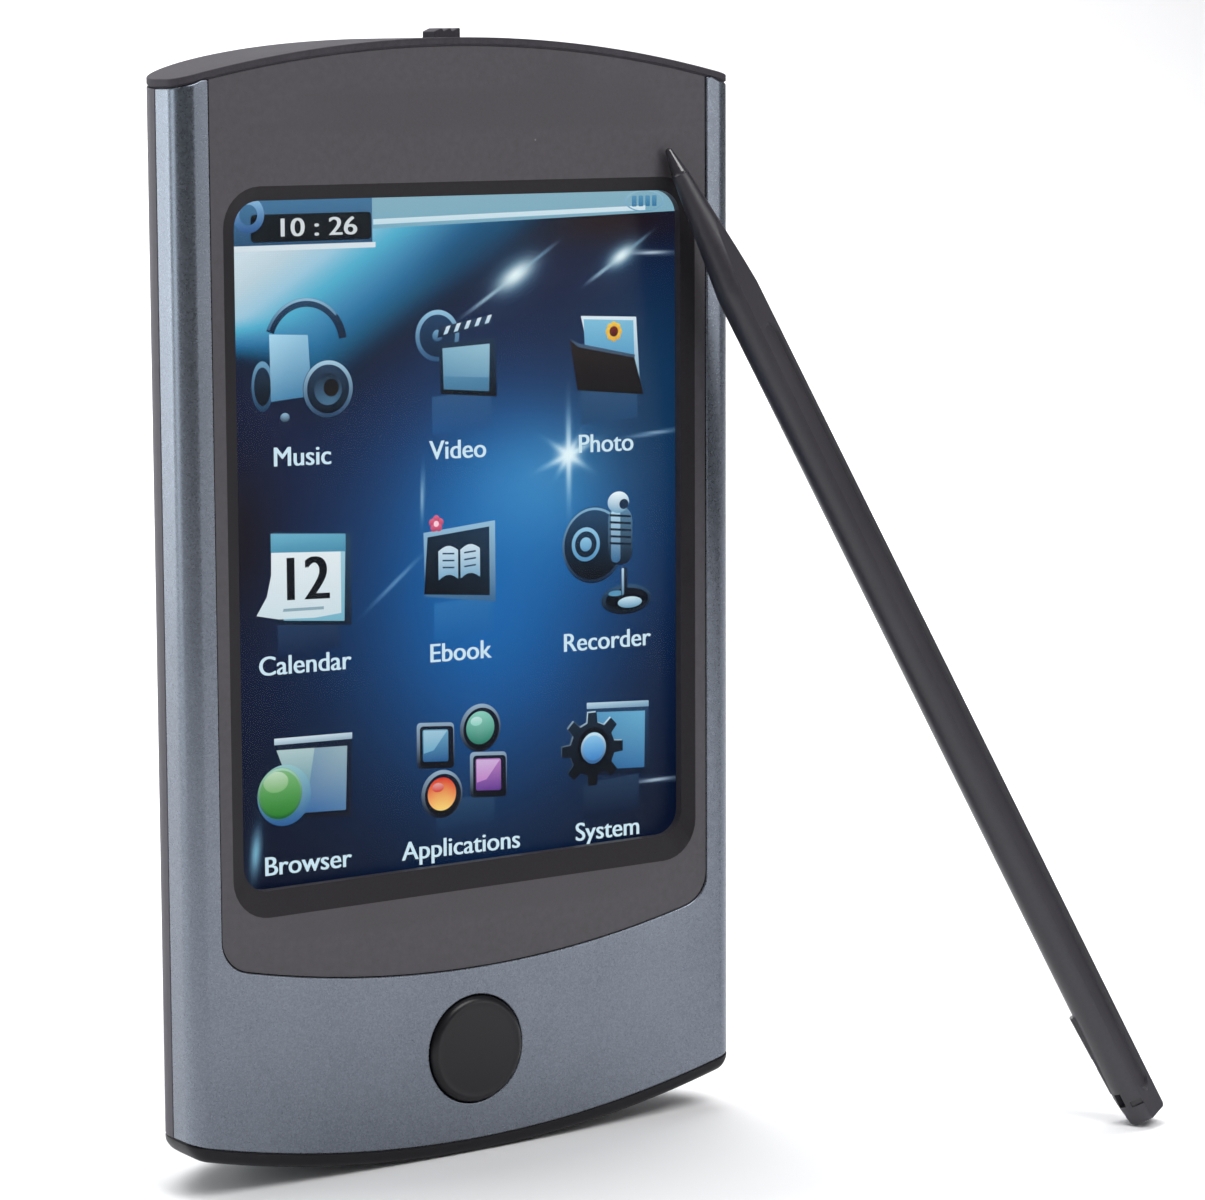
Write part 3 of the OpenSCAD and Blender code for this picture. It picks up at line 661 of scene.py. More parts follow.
class Finish:
    """A material under construction: its tree, its principled shader and its coordinates."""

    def __init__(self, name):
        old = bpy.data.materials.get(name)
        if old is not None:
            bpy.data.materials.remove(old)
        self.material = bpy.data.materials.new(name)
        self.material.use_nodes = True
        self.tree = self.material.node_tree
        self.shader = self.tree.nodes["Principled BSDF"]
        self.coords = self.tree.nodes.new("ShaderNodeTexCoord").outputs["Object"]

    def set(self, **values):
        for label, value in values.items():
            socket = self.shader.inputs[label.replace("_", " ")]
            socket.default_value = (*value, 1) if isinstance(value, tuple) and len(value) == 3 else value
        return self

    def link(self, output, label):
        self.tree.links.new(output, self.shader.inputs[label])
        return self

    def part(self, tree, **values):
        node = self.tree.nodes.new("ShaderNodeGroup")
        node.node_tree = tree
        self.tree.links.new(self.coords, node.inputs["Vector"])
        for label, value in values.items():
            node.inputs[label].default_value = value
        return node

    def bump(self, height, strength, distance):
        node = self.tree.nodes.new("ShaderNodeBump")
        node.inputs["Strength"].default_value = strength
        node.inputs["Distance"].default_value = distance
        self.tree.links.new(height, node.inputs["Height"])
        return self.link(node.outputs["Normal"], "Normal")

    def axis(self, name):
        node = self.tree.nodes.new("ShaderNodeSeparateXYZ")
        self.tree.links.new(self.coords, node.inputs[0])
        return node.outputs[name]


def scaled(rgb, k):
    return tuple(min(1.0, c * k) for c in tuple(rgb)[:3])


def lacquered_metal():
    """Painted frame: metallic blue-grey lacquer with fine flakes and rubbed edges."""
    f = Finish("lacquered_metal")
    c = colours()
    flakes = f.part(flake_group(), Scale=9000.0)
    wear = f.part(wear_group(), Scale=1200.0)
    cloud = noise(f.tree, f.coords, 90.0, 3.0)
    base = blend_colours(f.tree, ramp(f.tree, cloud, 0.3, 0.7), c.lacquer_deep, c.lacquer)
    spark = ramp(f.tree, flakes.outputs["Sparkle"], 0.45, 1.0)
    lit = blend_colours(f.tree, maths(f.tree, "MULTIPLY", spark, 0.3), base, scaled(c.lacquer, 1.7))
    worn = blend_colours(f.tree, maths(f.tree, "MULTIPLY", wear.outputs["Wear"], 0.35), lit,
                         scaled(c.lacquer, 1.5))
    f.link(worn, "Base Color")
    rough = maths(f.tree, "ADD", maths(f.tree, "MULTIPLY", flakes.outputs["Sparkle"], 0.10), 0.26)
    f.link(rough, "Roughness")
    f.bump(flakes.outputs["Height"], 0.05, 0.00002)
    return f.set(Metallic=0.9, Coat_Weight=0.1, Coat_Roughness=0.2).material


def moulded(name, rgb, scale=4200.0, rough=0.5, depth=0.00002, strength=0.25, specks=0.0, coat=0.0, wear=0.25,
            gloss=0.5):
    """Moulded plastic with a fine grain, a little lint and rubbed edges."""
    f = Finish(name)
    grain = f.part(grain_group(), Scale=scale)
    base = blend_colours(f.tree, grain.outputs["Tone"], scaled(rgb, 0.86), scaled(rgb, 1.16))
    rubbed = f.part(wear_group(), Scale=1500.0)
    base = blend_colours(
        f.tree, maths(f.tree, "MULTIPLY", rubbed.outputs["Wear"], wear), base, scaled(rgb, 1.9)
    )
    if specks:
        lint = f.part(dust_group(), Scale=420.0, Size=0.045)
        base = blend_colours(
            f.tree, maths(f.tree, "MULTIPLY", lint.outputs["Speck"], specks), base, scaled(rgb, 5.0)
        )
    f.link(base, "Base Color")
    spread = maths(f.tree, "ADD", maths(f.tree, "MULTIPLY", grain.outputs["Tone"], 0.12), rough - 0.06)
    f.link(spread, "Roughness")
    f.bump(grain.outputs["Height"], strength, depth)
    return f.set(Coat_Weight=coat, Coat_Roughness=0.12, Specular_IOR_Level=gloss).material


def bright_metal(name, rgb, rough=0.28, lines=2500.0):
    """Plated or brushed metal with fine drawn lines."""
    f = Finish(name)
    stretch = f.tree.nodes.new("ShaderNodeMapping")
    stretch.inputs["Scale"].default_value = (1.0, 1.0, 0.04)
    f.tree.links.new(f.coords, stretch.inputs["Vector"])
    drawn = noise(f.tree, stretch.outputs["Vector"], lines, 3.0, 0.6)
    tone = blend_colours(f.tree, ramp(f.tree, drawn, 0.3, 0.7), scaled(rgb, 0.85), scaled(rgb, 1.08))
    f.link(tone, "Base Color")
    f.link(maths(f.tree, "ADD", maths(f.tree, "MULTIPLY", drawn, 0.2), rough - 0.1), "Roughness")
    f.bump(drawn, 0.1, 0.00001)
    return f.set(Metallic=1.0).material


def board_finish():
    """Green solder mask with copper tracks and pads under it."""
    f = Finish("solder_mask")
    cells = f.tree.nodes.new("ShaderNodeTexBrick")
    turn = f.tree.nodes.new("ShaderNodeMapping")
    turn.inputs["Rotation"].default_value = (math.radians(90), 0, 0)
    f.tree.links.new(f.coords, turn.inputs["Vector"])
    f.tree.links.new(turn.outputs["Vector"], cells.inputs["Vector"])
    cells.inputs["Scale"].default_value = 260.0
    cells.inputs["Mortar Size"].default_value = 0.035
    cells.inputs["Mortar Smooth"].default_value = 0.2
    weave = noise(f.tree, f.coords, 1800.0, 2.0)
    green = blend_colours(f.tree, ramp(f.tree, weave, 0.3, 0.7), (0.004, 0.06, 0.022), (0.008, 0.11, 0.04))
    track = blend_colours(f.tree, maths(f.tree, "MULTIPLY", cells.outputs["Fac"], 0.7), green,
                          (0.03, 0.2, 0.08))
    f.link(track, "Base Color")
    f.link(ramp(f.tree, weave, -0.6, 2.6), "Roughness")
    f.bump(cells.outputs["Fac"], 0.3, 0.00003)
    return f.set(Coat_Weight=0.4, Coat_Roughness=0.1).material


def film_finish():
    """Amber ribbon film with copper lines along it."""
    f = Finish("ribbon_film")
    lines = f.tree.nodes.new("ShaderNodeTexWave")
    lines.inputs["Scale"].default_value = 500.0
    f.tree.links.new(f.coords, lines.inputs["Vector"])
    tone = blend_colours(f.tree, lines.outputs["Fac"], (0.38, 0.13, 0.015), (0.62, 0.30, 0.06))
    f.link(tone, "Base Color")
    f.link(ramp(f.tree, lines.outputs["Fac"], -2.0, 4.0), "Roughness")
    return f.set(Coat_Weight=0.3).material


def touch_film_finish():
    """Clear touch film, with a faint broad smear in its gloss."""
    f = Finish("touch_film")
    smear = noise(f.tree, f.coords, 60.0, 3.0)
    f.link(ramp(f.tree, smear, -2.0, 14.0), "Roughness")
    f.link(blend_colours(f.tree, smear, (0.93, 0.96, 0.98), (0.98, 0.99, 1.0)), "Base Color")
    return f.set(Metallic=0.0, Transmission_Weight=1.0, IOR=1.08, Specular_IOR_Level=0.3).material


def attribute_light(name, attribute, strength, pixels=0.0):
    """A lit surface whose colour is stored on its points, with the fine grid of a display."""
    f = Finish(name)
    ink = f.tree.nodes.new("ShaderNodeAttribute")
    ink.attribute_name = attribute
    tone = ink.outputs["Color"]
    if pixels:
        pitch = 2 * math.pi / (0.18 * MM)
        wave_x = maths(f.tree, "SINE", maths(f.tree, "MULTIPLY", f.axis("X"), pitch))
        wave_z = maths(f.tree, "SINE", maths(f.tree, "MULTIPLY", f.axis("Z"), pitch))
        weave = maths(f.tree, "ADD", wave_x, wave_z)
        shade = maths(f.tree, "ADD", maths(f.tree, "MULTIPLY", weave, pixels), 1.0 - pixels)
        tone = blend_colours(f.tree, 1.0, tone, shade, "MULTIPLY")
    f.link(tone, "Emission Color")
    f.set(Base_Color=(0.002, 0.002, 0.003), Roughness=0.4, Emission_Strength=strength,
          Specular_IOR_Level=0.05)
    return f.material


def foam_finish(name, rgb):
    """Open foam or woven cloth: coarse cells and no gloss."""
    f = Finish(name)
    cells = f.tree.nodes.new("ShaderNodeTexVoronoi")
    cells.inputs["Scale"].default_value = 2500.0
    f.tree.links.new(f.coords, cells.inputs["Vector"])
    tone = blend_colours(f.tree, ramp(f.tree, cells.outputs["Distance"], 0.0, 0.7), scaled(rgb, 0.5),
                         scaled(rgb, 1.4))
    f.link(tone, "Base Color")
    f.bump(cells.outputs["Distance"], 0.6, 0.00008)
    return f.set(Roughness=0.9).material


FINISHES = {}


def finish(name):
    """A finish by name, made the first time that it is asked for."""
    made = FINISHES.get(name)
    if made is None:
        c = colours()
        recipes = {
            "lacquered_metal": lacquered_metal,
            "panel_plastic": lambda: moulded("panel_plastic", c.panel, 5200.0, 0.50, 0.000025, 0.3,
                                             specks=0.5),
            # Painted shade: the window's sunk bevel gets the panel plastic at 0.42 of its colour with less
            # gloss, so it reads darker than the face around it.
            "bevel_painted_shade": lambda: moulded("bevel_painted_shade", scaled(c.panel, 0.42), 5200.0, 0.42, 0.000012,
                                             0.15,
                                             wear=0.1, gloss=0.12),
            "cap_plastic": lambda: moulded("cap_plastic", c.cap, 5200.0, 0.62, 0.000015, 0.2, gloss=0.07),
            "base_plastic": lambda: moulded("base_plastic", c.base, 4200.0, 0.42, 0.000012, 0.15, gloss=0.15),
            "cover_plastic": lambda: moulded("cover_plastic", c.cover, 3600.0, 0.55, 0.00003, 0.3,
                                             specks=0.3, gloss=0.2),
            "button_plastic": lambda: moulded("button_plastic", c.button, 5200.0, 0.36, 0.00001, 0.12,
                                              specks=0.4, gloss=0.3),
            "stylus_plastic": lambda: moulded("stylus_plastic", c.stylus, 3300.0, 0.38, 0.00003, 0.3),
            "nib_plastic": lambda: moulded("nib_plastic", c.stylus, 5000.0, 0.22, 0.000008, 0.1, coat=0.5),
            "black_moulding": lambda: moulded("black_moulding", (0.02, 0.02, 0.022), 2600.0, 0.55),
            "chip_moulding": lambda: moulded("chip_moulding", (0.012, 0.012, 0.013), 6000.0, 0.62),
            "cream_nylon": lambda: moulded("cream_nylon", (0.72, 0.66, 0.52), 2600.0, 0.45),
            "light_guide": lambda: moulded("light_guide", (0.8, 0.8, 0.77), 2600.0, 0.3),
            "ceramic": lambda: moulded("ceramic", (0.33, 0.22, 0.13), 4000.0, 0.4),
            "wire_jacket": lambda: moulded("wire_jacket", (0.45, 0.02, 0.015), 3000.0, 0.42),
            "black_screw": lambda: bright_metal("black_screw", (0.06, 0.06, 0.065), 0.36),
            "plated_steel": lambda: bright_metal("plated_steel", (0.62, 0.63, 0.65)),
            "battery_pouch": lambda: bright_metal("battery_pouch", (0.66, 0.67, 0.69), 0.4, 900.0),
            "display_cell": lambda: moulded("display_cell", (0.006, 0.007, 0.010), 5200.0, 0.12, coat=0.6,
                                            wear=0.0),
            "solder_mask": board_finish,
            "ribbon_film": film_finish,
            "touch_film": touch_film_finish,
            "foam": lambda: foam_finish("foam", (0.03, 0.03, 0.032)),
            "picture_light": lambda: attribute_light("picture_light", "glow", 1.0, 0.02),
            "icon_light": lambda: attribute_light("icon_light", "glow", 1.0, 0.015),
        }
        made = recipes[name]()
        FINISHES[name] = made
    return made


# ---------------------------------------------------------------- case pieces


def frame_piece():
    """Metal frame: the face below the screen and the two sides, one sheet with its edges turned back."""
    s = sizes()
    profile = front_profile()
    r = s.edge_radius
    flat_left = profile.along(-(HALF_W - r))
    flat_right = profile.length - flat_left
    offset = profile.length / 2
    corner = arc(-(HALF_W - r), Y_FRONT + r, r, r, 180, 270, 10)
    curve = [profile.along(y, 1) for _, y in corner]
    left_columns = sorted(set(round(v, 9) for v in [0.0, 0.7 * MM, 1.4 * MM, *curve, flat_left]))
    right_columns = [profile.length - v for v in reversed(left_columns)]

    def x_of(v):
        return profile.point(v)[0]

    inner = panel_lower_edge(s.panel_gap)
    inner_right, inner_left = inner[0][0] + offset, inner[-1][0] + offset
    base_s = left_columns + spaced(flat_left, flat_right, 0.9 * MM)[1:-1] + right_columns
    loop = [(v, joint_base(x_of(v), s.base_cap)) for v in base_s]
    z_low, z_high = loop[-1][1], joint_top(HALF_W, s.top_cap)
    loop += [(profile.length, z) for z in spaced(z_low, z_high, 1.2 * MM)[1:-1]]
    loop += [(v, joint_top(x_of(v), s.top_cap)) for v in reversed(right_columns)]
    loop += [((flat_right + inner_right) / 2, joint_top(inner_right - offset, s.top_cap))]
    loop += [(x + offset, z) for x, z in inner]
    loop += [((flat_left + inner_left) / 2, joint_top(inner_left - offset, s.top_cap))]
    loop += [(v, joint_top(x_of(v), s.top_cap)) for v in reversed(left_columns)]
    loop += [(0.0, z) for z in spaced(z_high, z_low, 1.2 * MM)[1:-1]]
    button_r = (BUTTON_HIGH.x - BUTTON_LOW.x) / 2 - 0.625 * MM
    hole = circle(offset, (BUTTON_LOW.z + BUTTON_HIGH.z) / 2, button_r, 96)
    rows = spaced(0.004, 0.094, 1.2 * MM)
    grid = lattice(left_columns + right_columns, rows) + lattice(spaced(flat_left, flat_right, 2 * MM),
            rows[::2])
    bm = bmesh.new()
    add_region(bm, loop, [hole], profile.place, lambda u, v: 0.0, grid)
    piece = to_object(bm, "metal_frame", weld=1e-6, recalc=False)
    face_outwards(piece)
    wall = piece.modifiers.new("wall", "SOLIDIFY")
    wall.thickness = s.frame_wall
    wall.offset = -1
    wall.use_even_offset = True
    soften(piece, 0.16 * MM, 3)
    return dress(piece, "case", finish("lacquered_metal"), ["front_frame"])


def face_outwards(piece):
    """Turns an open skin's faces away from the middle of the case."""
    middle = Vector((0, (Y_FRONT + Y_BACK) / 2, HEIGHT / 2))
    bm = bmesh.new()
    bm.from_mesh(piece.data)
    bmesh.ops.recalc_face_normals(bm, faces=bm.faces)
    score = 0.0
    for face in bm.faces:
        ahead = face.calc_center_median() - middle
        ahead.z = 0
        score += ahead.dot(face.normal) * face.calc_area()
    if score < 0:
        bmesh.ops.reverse_faces(bm, faces=bm.faces)
    bm.to_mesh(piece.data)
    bm.free()


def panel_piece():
    """Front panel: one moulding with a bevelled window and a flange behind the frame. Its sunk bevel carries
    a darker copy of the panel's finish as painted shade.
    """
    s = sizes()
    front, back = PANEL_LOW.y, PANEL_HIGH.y
    flange = 0.5 * MM
    grow = PANEL_HIGH.x - s.panel_width / 2
    level = lambda loop, y: [(x, z, y) for x, z in loop]
    outline, wide = panel_loop(s.panel_gap * 0.5), panel_loop(grow)
    steps = 8
    bevel = rounded_box(0, s.window_z, s.bevel_width, s.bevel_height, 3.5 * MM, steps)
    sight = matched_box(s, steps)
    outer = [level(outline, front), level(outline, back - flange), level(wide, back - flange),
             level(wide, back)]
    window = [level(bevel, front), level(sight, front + s.bevel_depth), level(sight, back)]
    grid = lattice(spaced(-s.panel_width / 2, s.panel_width / 2, 2.4 * MM),
                   spaced(s.panel_low, HEIGHT, 2.4 * MM))
    bm = solid(outer, [window], front_place, lambda u, v: front, lambda u, v: back, grid)
    piece = soften(to_object(bm, "window_panel"), 0.10 * MM, 2, 14)
    dress(piece, "case", [finish("panel_plastic"), finish("bevel_painted_shade")], ["front_panel"])
    # Painted shade: the faces of the sunk bevel take the darker second finish.
    for face in piece.data.polygons:
        x, z = face.center.x, face.center.z - s.window_z
        sunk = front + 0.01 * MM < face.center.y < front + s.bevel_depth
        if sunk and abs(x) < s.bevel_width / 2 and abs(z) < s.bevel_height / 2:
            face.material_index = 1
    return piece


def matched_box(s, steps):
    """The sight opening, with as many points as the bevel's outer edge."""
    outer = rounded_box(0, 0, s.bevel_width, s.bevel_height, 3.5 * MM, steps)
    r0, r1 = 3.5 * MM, 2.3 * MM
    ax, az = s.bevel_width / 2 - r0, s.bevel_height / 2 - r0
    bx, bz = s.sight_width / 2 - r1, s.sight_height / 2 - r1
    loop = []
    for x, z in outer:
        cx, cz = min(max(x, -ax), ax), min(max(z, -az), az)
        px, pz = cx / ax * bx, cz / az * bz
        loop.append((px + (x - cx) / r0 * r1, s.sight_z + pz + (z - cz) / r0 * r1))
    return loop


def cap_heights(loop, height):
    return [(x, y, height(x, y)) for x, y in loop]


def top_cap_piece():
    """Top cap: an arched plate with a lip, a slot for the hold switch and a hole for the jack."""
    s = sizes()
    lip, groove = 0.18 * MM, 0.16 * MM
    top = lambda x, y: joint_top(x)
    lip_low = lambda x, y: joint_top(x, s.top_cap - lip)
    low = lambda x, y: joint_top(x, s.top_cap)
    rim, inset = plan_outline(), plan_outline(groove)
    outer = [cap_heights(rim, top), cap_heights(rim, lip_low), cap_heights(inset, lip_low),
             cap_heights(inset, low)]
    travel = next(j for j in frame["joints"] if j["name"] == "hold_switch_slide")["range_m"][1]
    knob_mid = (KNOB_LOW.x + KNOB_HIGH.x) / 2
    slot_w = 2.6 * MM + travel + 0.3 * MM
    slot_x = knob_mid - travel / 2
    slot = rounded_box(slot_x, 0, slot_w, 2.3 * MM, 0.25 * MM, 4, 0.8 * MM)
    jack = circle((JACK_LOW.x + JACK_HIGH.x) / 2, jack_y(), 3.0 * MM, 64)
    holes = [[cap_heights(loop, top), cap_heights(loop, low)] for loop in (slot, jack)]
    grid = lattice(spaced(-HALF_W, HALF_W, 0.8 * MM), spaced(Y_FRONT, Y_BACK, 1.1 * MM))
    bm = solid(outer, holes, plan_place, top, low, grid)
    piece = soften(to_object(bm, "arched_top"), 0.15 * MM, 3)
    return dress(piece, "case", finish("cap_plastic"), ["top_cap"])


def jack_y():
    """Depth of the jack's axis, from its mount."""
    mount = next(m for m in frame["record"]["mounts"] if m["name"] == "headphone_jack")
    return mount["pos_m"][1]


def base_cap_piece():
    """Base cap: an arched plate with a rounded lower edge, flat in the middle, with its openings."""
    s = sizes()
    cut_x = HALF_W - s.base_chamfer
    end_z = joint_base(HALF_W, s.base_cap) - 0.2 * MM
    round_r = 0.9 * MM

    def under(x, y):
        z = joint_base(x)
        if abs(x) > cut_x:
            z += 0.6 * (end_z - joint_base(HALF_W)) * ((abs(x) - cut_x) / (HALF_W - cut_x)) ** 2.5
        return z

    over = lambda x, y: joint_base(x, s.base_cap)
    outer = []
    rim = plan_outline()
    for k in range(7):
        a = math.radians(15 * k)
        inset = plan_outline(round_r * (1 - math.sin(a)))
        lift = lambda x, y, a=a: under(x, y) + min(round_r,
                                                   0.7 * (over(x, y) - under(x, y))) * (1 - math.cos(a))
        outer.append(cap_heights(inset, lift))
    groove = lambda x, y: over(x, y) - 0.12 * MM
    inset = plan_outline(0.12 * MM)
    outer += [cap_heights(rim, groove), cap_heights(inset, groove), cap_heights(inset, over)]
    holes = []
    for low, high in ((USB_LOW, USB_HIGH), (CARD_LOW, CARD_HIGH)):
        loop = rounded_box((low.x + high.x) / 2, (low.y + high.y) / 2, high.x - low.x + 0.3 * MM,
                           high.y - low.y + 0.3 * MM, 0.3 * MM, 4, 0.8 * MM)
        holes.append([cap_heights(loop, under), cap_heights(loop, over)])
    mic_low, mic_high = cad("microphone")
    loop = circle((mic_low.x + mic_high.x) / 2, (mic_low.y + mic_high.y) / 2, 0.5 * MM, 20)
    holes.append([cap_heights(loop, under), cap_heights(loop, over)])
    grid = lattice(spaced(-HALF_W, HALF_W, 0.6 * MM), spaced(Y_FRONT, Y_BACK, 1.1 * MM))
    bm = solid(outer, holes, plan_place, under, over, grid)
    piece = soften(to_object(bm, "arched_base"), 0.06 * MM, 2)
    return dress(piece, "case", finish("base_plastic"), ["base_cap"])


def rear_depth(x):
    """Depth of the rear cover's outside at x."""
    s = sizes()
    flat = s.back_flat / 2
    over = max(abs(x) - flat, 0) / (HALF_W - flat)
    return Y_SEAM + (Y_BACK - Y_SEAM) * math.sqrt(max(1 - over * over, 0))


def rear_cover_piece():
    """Rear cover: a curved shell with four sunk screw holes and the speaker's perforations."""
    s = sizes()
    profile = rear_profile()
    step = 0.7 * MM
    columns = spaced(0, profile.length, step)
    x_of = lambda v: profile.point(v)[0]
    loop = [(v, joint_base(x_of(v), s.base_cap)) for v in columns]
    z_low, z_high = joint_base(HALF_W, s.base_cap), joint_top(HALF_W, s.top_cap)
    loop += [(profile.length, z) for z in spaced(z_low, z_high, 1.2 * MM)[1:-1]]
    loop += [(v, joint_top(x_of(v), s.top_cap)) for v in reversed(columns)]
    loop += [(0.0, z) for z in spaced(z_high, z_low, 1.2 * MM)[1:-1]]
    cup_r = 1.95 * MM
    holes = [circle(profile.along(x), z, cup_r, 40) for x, z in screw_spots()]
    middle = profile.length / 2
    holes += [circle(middle + dx, z, 0.55 * MM, 16) for dx, z in grille_spots()]
    grid = lattice(columns, spaced(0.003, 0.095, 1.2 * MM))
    rings = [[(u, v, 0.0) for u, v in loop], [(u, v, s.cover_wall) for u, v in loop]]
    hole_rings = [[[(u, v, 0.0) for u, v in hole], [(u, v, s.cover_wall) for u, v in hole]] for hole in holes]
    bm = solid(rings, hole_rings, profile.place, lambda u, v: 0.0, lambda u, v: s.cover_wall, grid)
    seat = SCREWS_HIGH.y - 1.2 * MM
    for x, z in screw_spots():
        brim = rear_depth(abs(x) + cup_r) - s.cover_wall * 0.7
        place = lambda a, b, h, x=x, z=z: (x + a, h, z + b)
        lathe(bm, [(0.95 * MM, seat), (cup_r, seat), (cup_r, brim), (2.55 * MM, brim), (2.55 * MM, 2 * MM),
                   (0.95 * MM, 2 * MM)], place, 40)
    piece = soften(to_object(bm, "curved_back"), 0.09 * MM, 2)
    return dress(piece, "case", finish("cover_plastic"), ["rear_cover"])


def screw_spots():
    """Places of the four case screws across and up the back."""
    r = 1.8 * MM
    x, low, high = SCREWS_HIGH.x - r, SCREWS_LOW.z + r, SCREWS_HIGH.z - r
    return [(-x, low), (x, low), (-x, high), (x, high)]


def grille_spots():
    """Places of the speaker's perforations about its middle: one, six and twelve."""
    z = (SPEAKER_LOW.z + SPEAKER_HIGH.z) / 2
    spots = [(0.0, z)]
    for ring in (1, 2):
        for i in range(6 * ring):
            a = math.radians(60 * i / ring)
            spots.append((2.2 * MM * ring * math.cos(a), z + 2.2 * MM * ring * math.sin(a)))
    return spots


def button_piece():
    """Home button: a turned cap with a rounded edge and a flange behind the frame."""
    front = BUTTON_LOW.y
    back = BUTTON_HIGH.y
    flange_r = (BUTTON_HIGH.x - BUTTON_LOW.x) / 2
    r = flange_r - 0.725 * MM
    edge = 0.6 * MM
    z = (BUTTON_LOW.z + BUTTON_HIGH.z) / 2
    dome = [(r * 0.86 * t, front + 0.05 * MM * t * t) for t in spaced(0, 1, 1 / 10)]
    rim = [(x, y) for x, y in arc(r - edge, front + edge, edge, edge - 0.02 * MM, -84, 0, 8)]
    profile = dome + rim + [(r, back - 0.55 * MM), (flange_r, back - 0.55 * MM), (flange_r, back),
                            (0.0, back)]
    bm = bmesh.new()
    lathe(bm, profile, lambda a, b, h: (a, h, z + b), 96, closed=False)
    piece = soften(to_object(bm, "round_button"), 0.06 * MM, 2, 40)
    return dress(piece, "home_button", finish("button_plastic"), ["home_button"])


def knob_piece():
    """Hold switch: a knob with three saw teeth, the plate under its slot and its leg."""
    x = (KNOB_LOW.x + KNOB_HIGH.x) / 2
    length_x, width_y = 2.6 * MM, 2.0 * MM
    top, tooth = KNOB_HIGH.z, 2.6 * MM / 3
    plate_top = KNOB_LOW.z + 3.65 * MM
    outline = [(x + length_x / 2, plate_top - 0.3 * MM), (x + length_x / 2, top - 0.04 * MM)]
    for i in (2, 1, 0):
        left = x - length_x / 2 + i * tooth
        outline += [(left + tooth - 0.16 * MM, top), (left + 0.05 * MM, top - 0.28 * MM)]
    outline += [(x - length_x / 2, top - 0.34 * MM), (x - length_x / 2, plate_top - 0.3 * MM)]
    bm = bmesh.new()
    rows = [[bm.verts.new((px, y, pz)) for px, pz in outline] for y in (-width_y / 2, width_y / 2)]
    count = len(outline)
    for i in range(count):
        j = (i + 1) % count
        bm.faces.new((rows[0][i], rows[0][j], rows[1][j], rows[1][i]))
    bm.faces.new(rows[0])
    bm.faces.new(list(reversed(rows[1])))
    plate_half = (KNOB_HIGH.x - KNOB_LOW.x) / 2
    add_box(bm, (x - plate_half, KNOB_LOW.y, plate_top - 0.5 * MM), (x + plate_half, KNOB_HIGH.y, plate_top))
    add_box(bm, (x - 0.7 * MM, 0.65 * MM, KNOB_LOW.z), (x + 0.7 * MM, 1.35 * MM, plate_top - 0.4 * MM))
    piece = soften(to_object(bm, "saw_tooth_knob"), 0.09 * MM, 2, 30)
    return dress(piece, "hold_switch", finish("cap_plastic"), ["hold_switch_knob"])


def run_nodes(name, tree, values, body, materials, replaces=()):
    """Runs a geometry node tree on an empty mesh and keeps its result as a plain piece."""
    wipe(name)
    host = bpy.data.objects.new(name + "_host", bpy.data.meshes.new(name + "_host"))
    bpy.context.scene.collection.objects.link(host)
    modifier = host.modifiers.new("tree", "NODES")
    modifier.node_group = tree
    for item in tree.interface.items_tree:
        if item.item_type == "SOCKET" and item.in_out == "INPUT" and item.name in values:
            modifier[item.identifier] = values[item.name]
    bpy.context.view_layer.update()
    evaluated = host.evaluated_get(bpy.context.evaluated_depsgraph_get())
    mesh = bpy.data.meshes.new_from_object(evaluated)
    bpy.data.objects.remove(host, do_unlink=True)
    if not mesh.polygons:
        raise RuntimeError(f"{name}: its node tree made no faces")
    mesh.name = name
    piece = bpy.data.objects.new(name, mesh)
    bpy.context.scene.collection.objects.link(piece)
    for face in mesh.polygons:
        face.use_smooth = True
    soften(piece, 0.05 * MM, 2, 40)
    return dress(piece, body, materials, replaces)


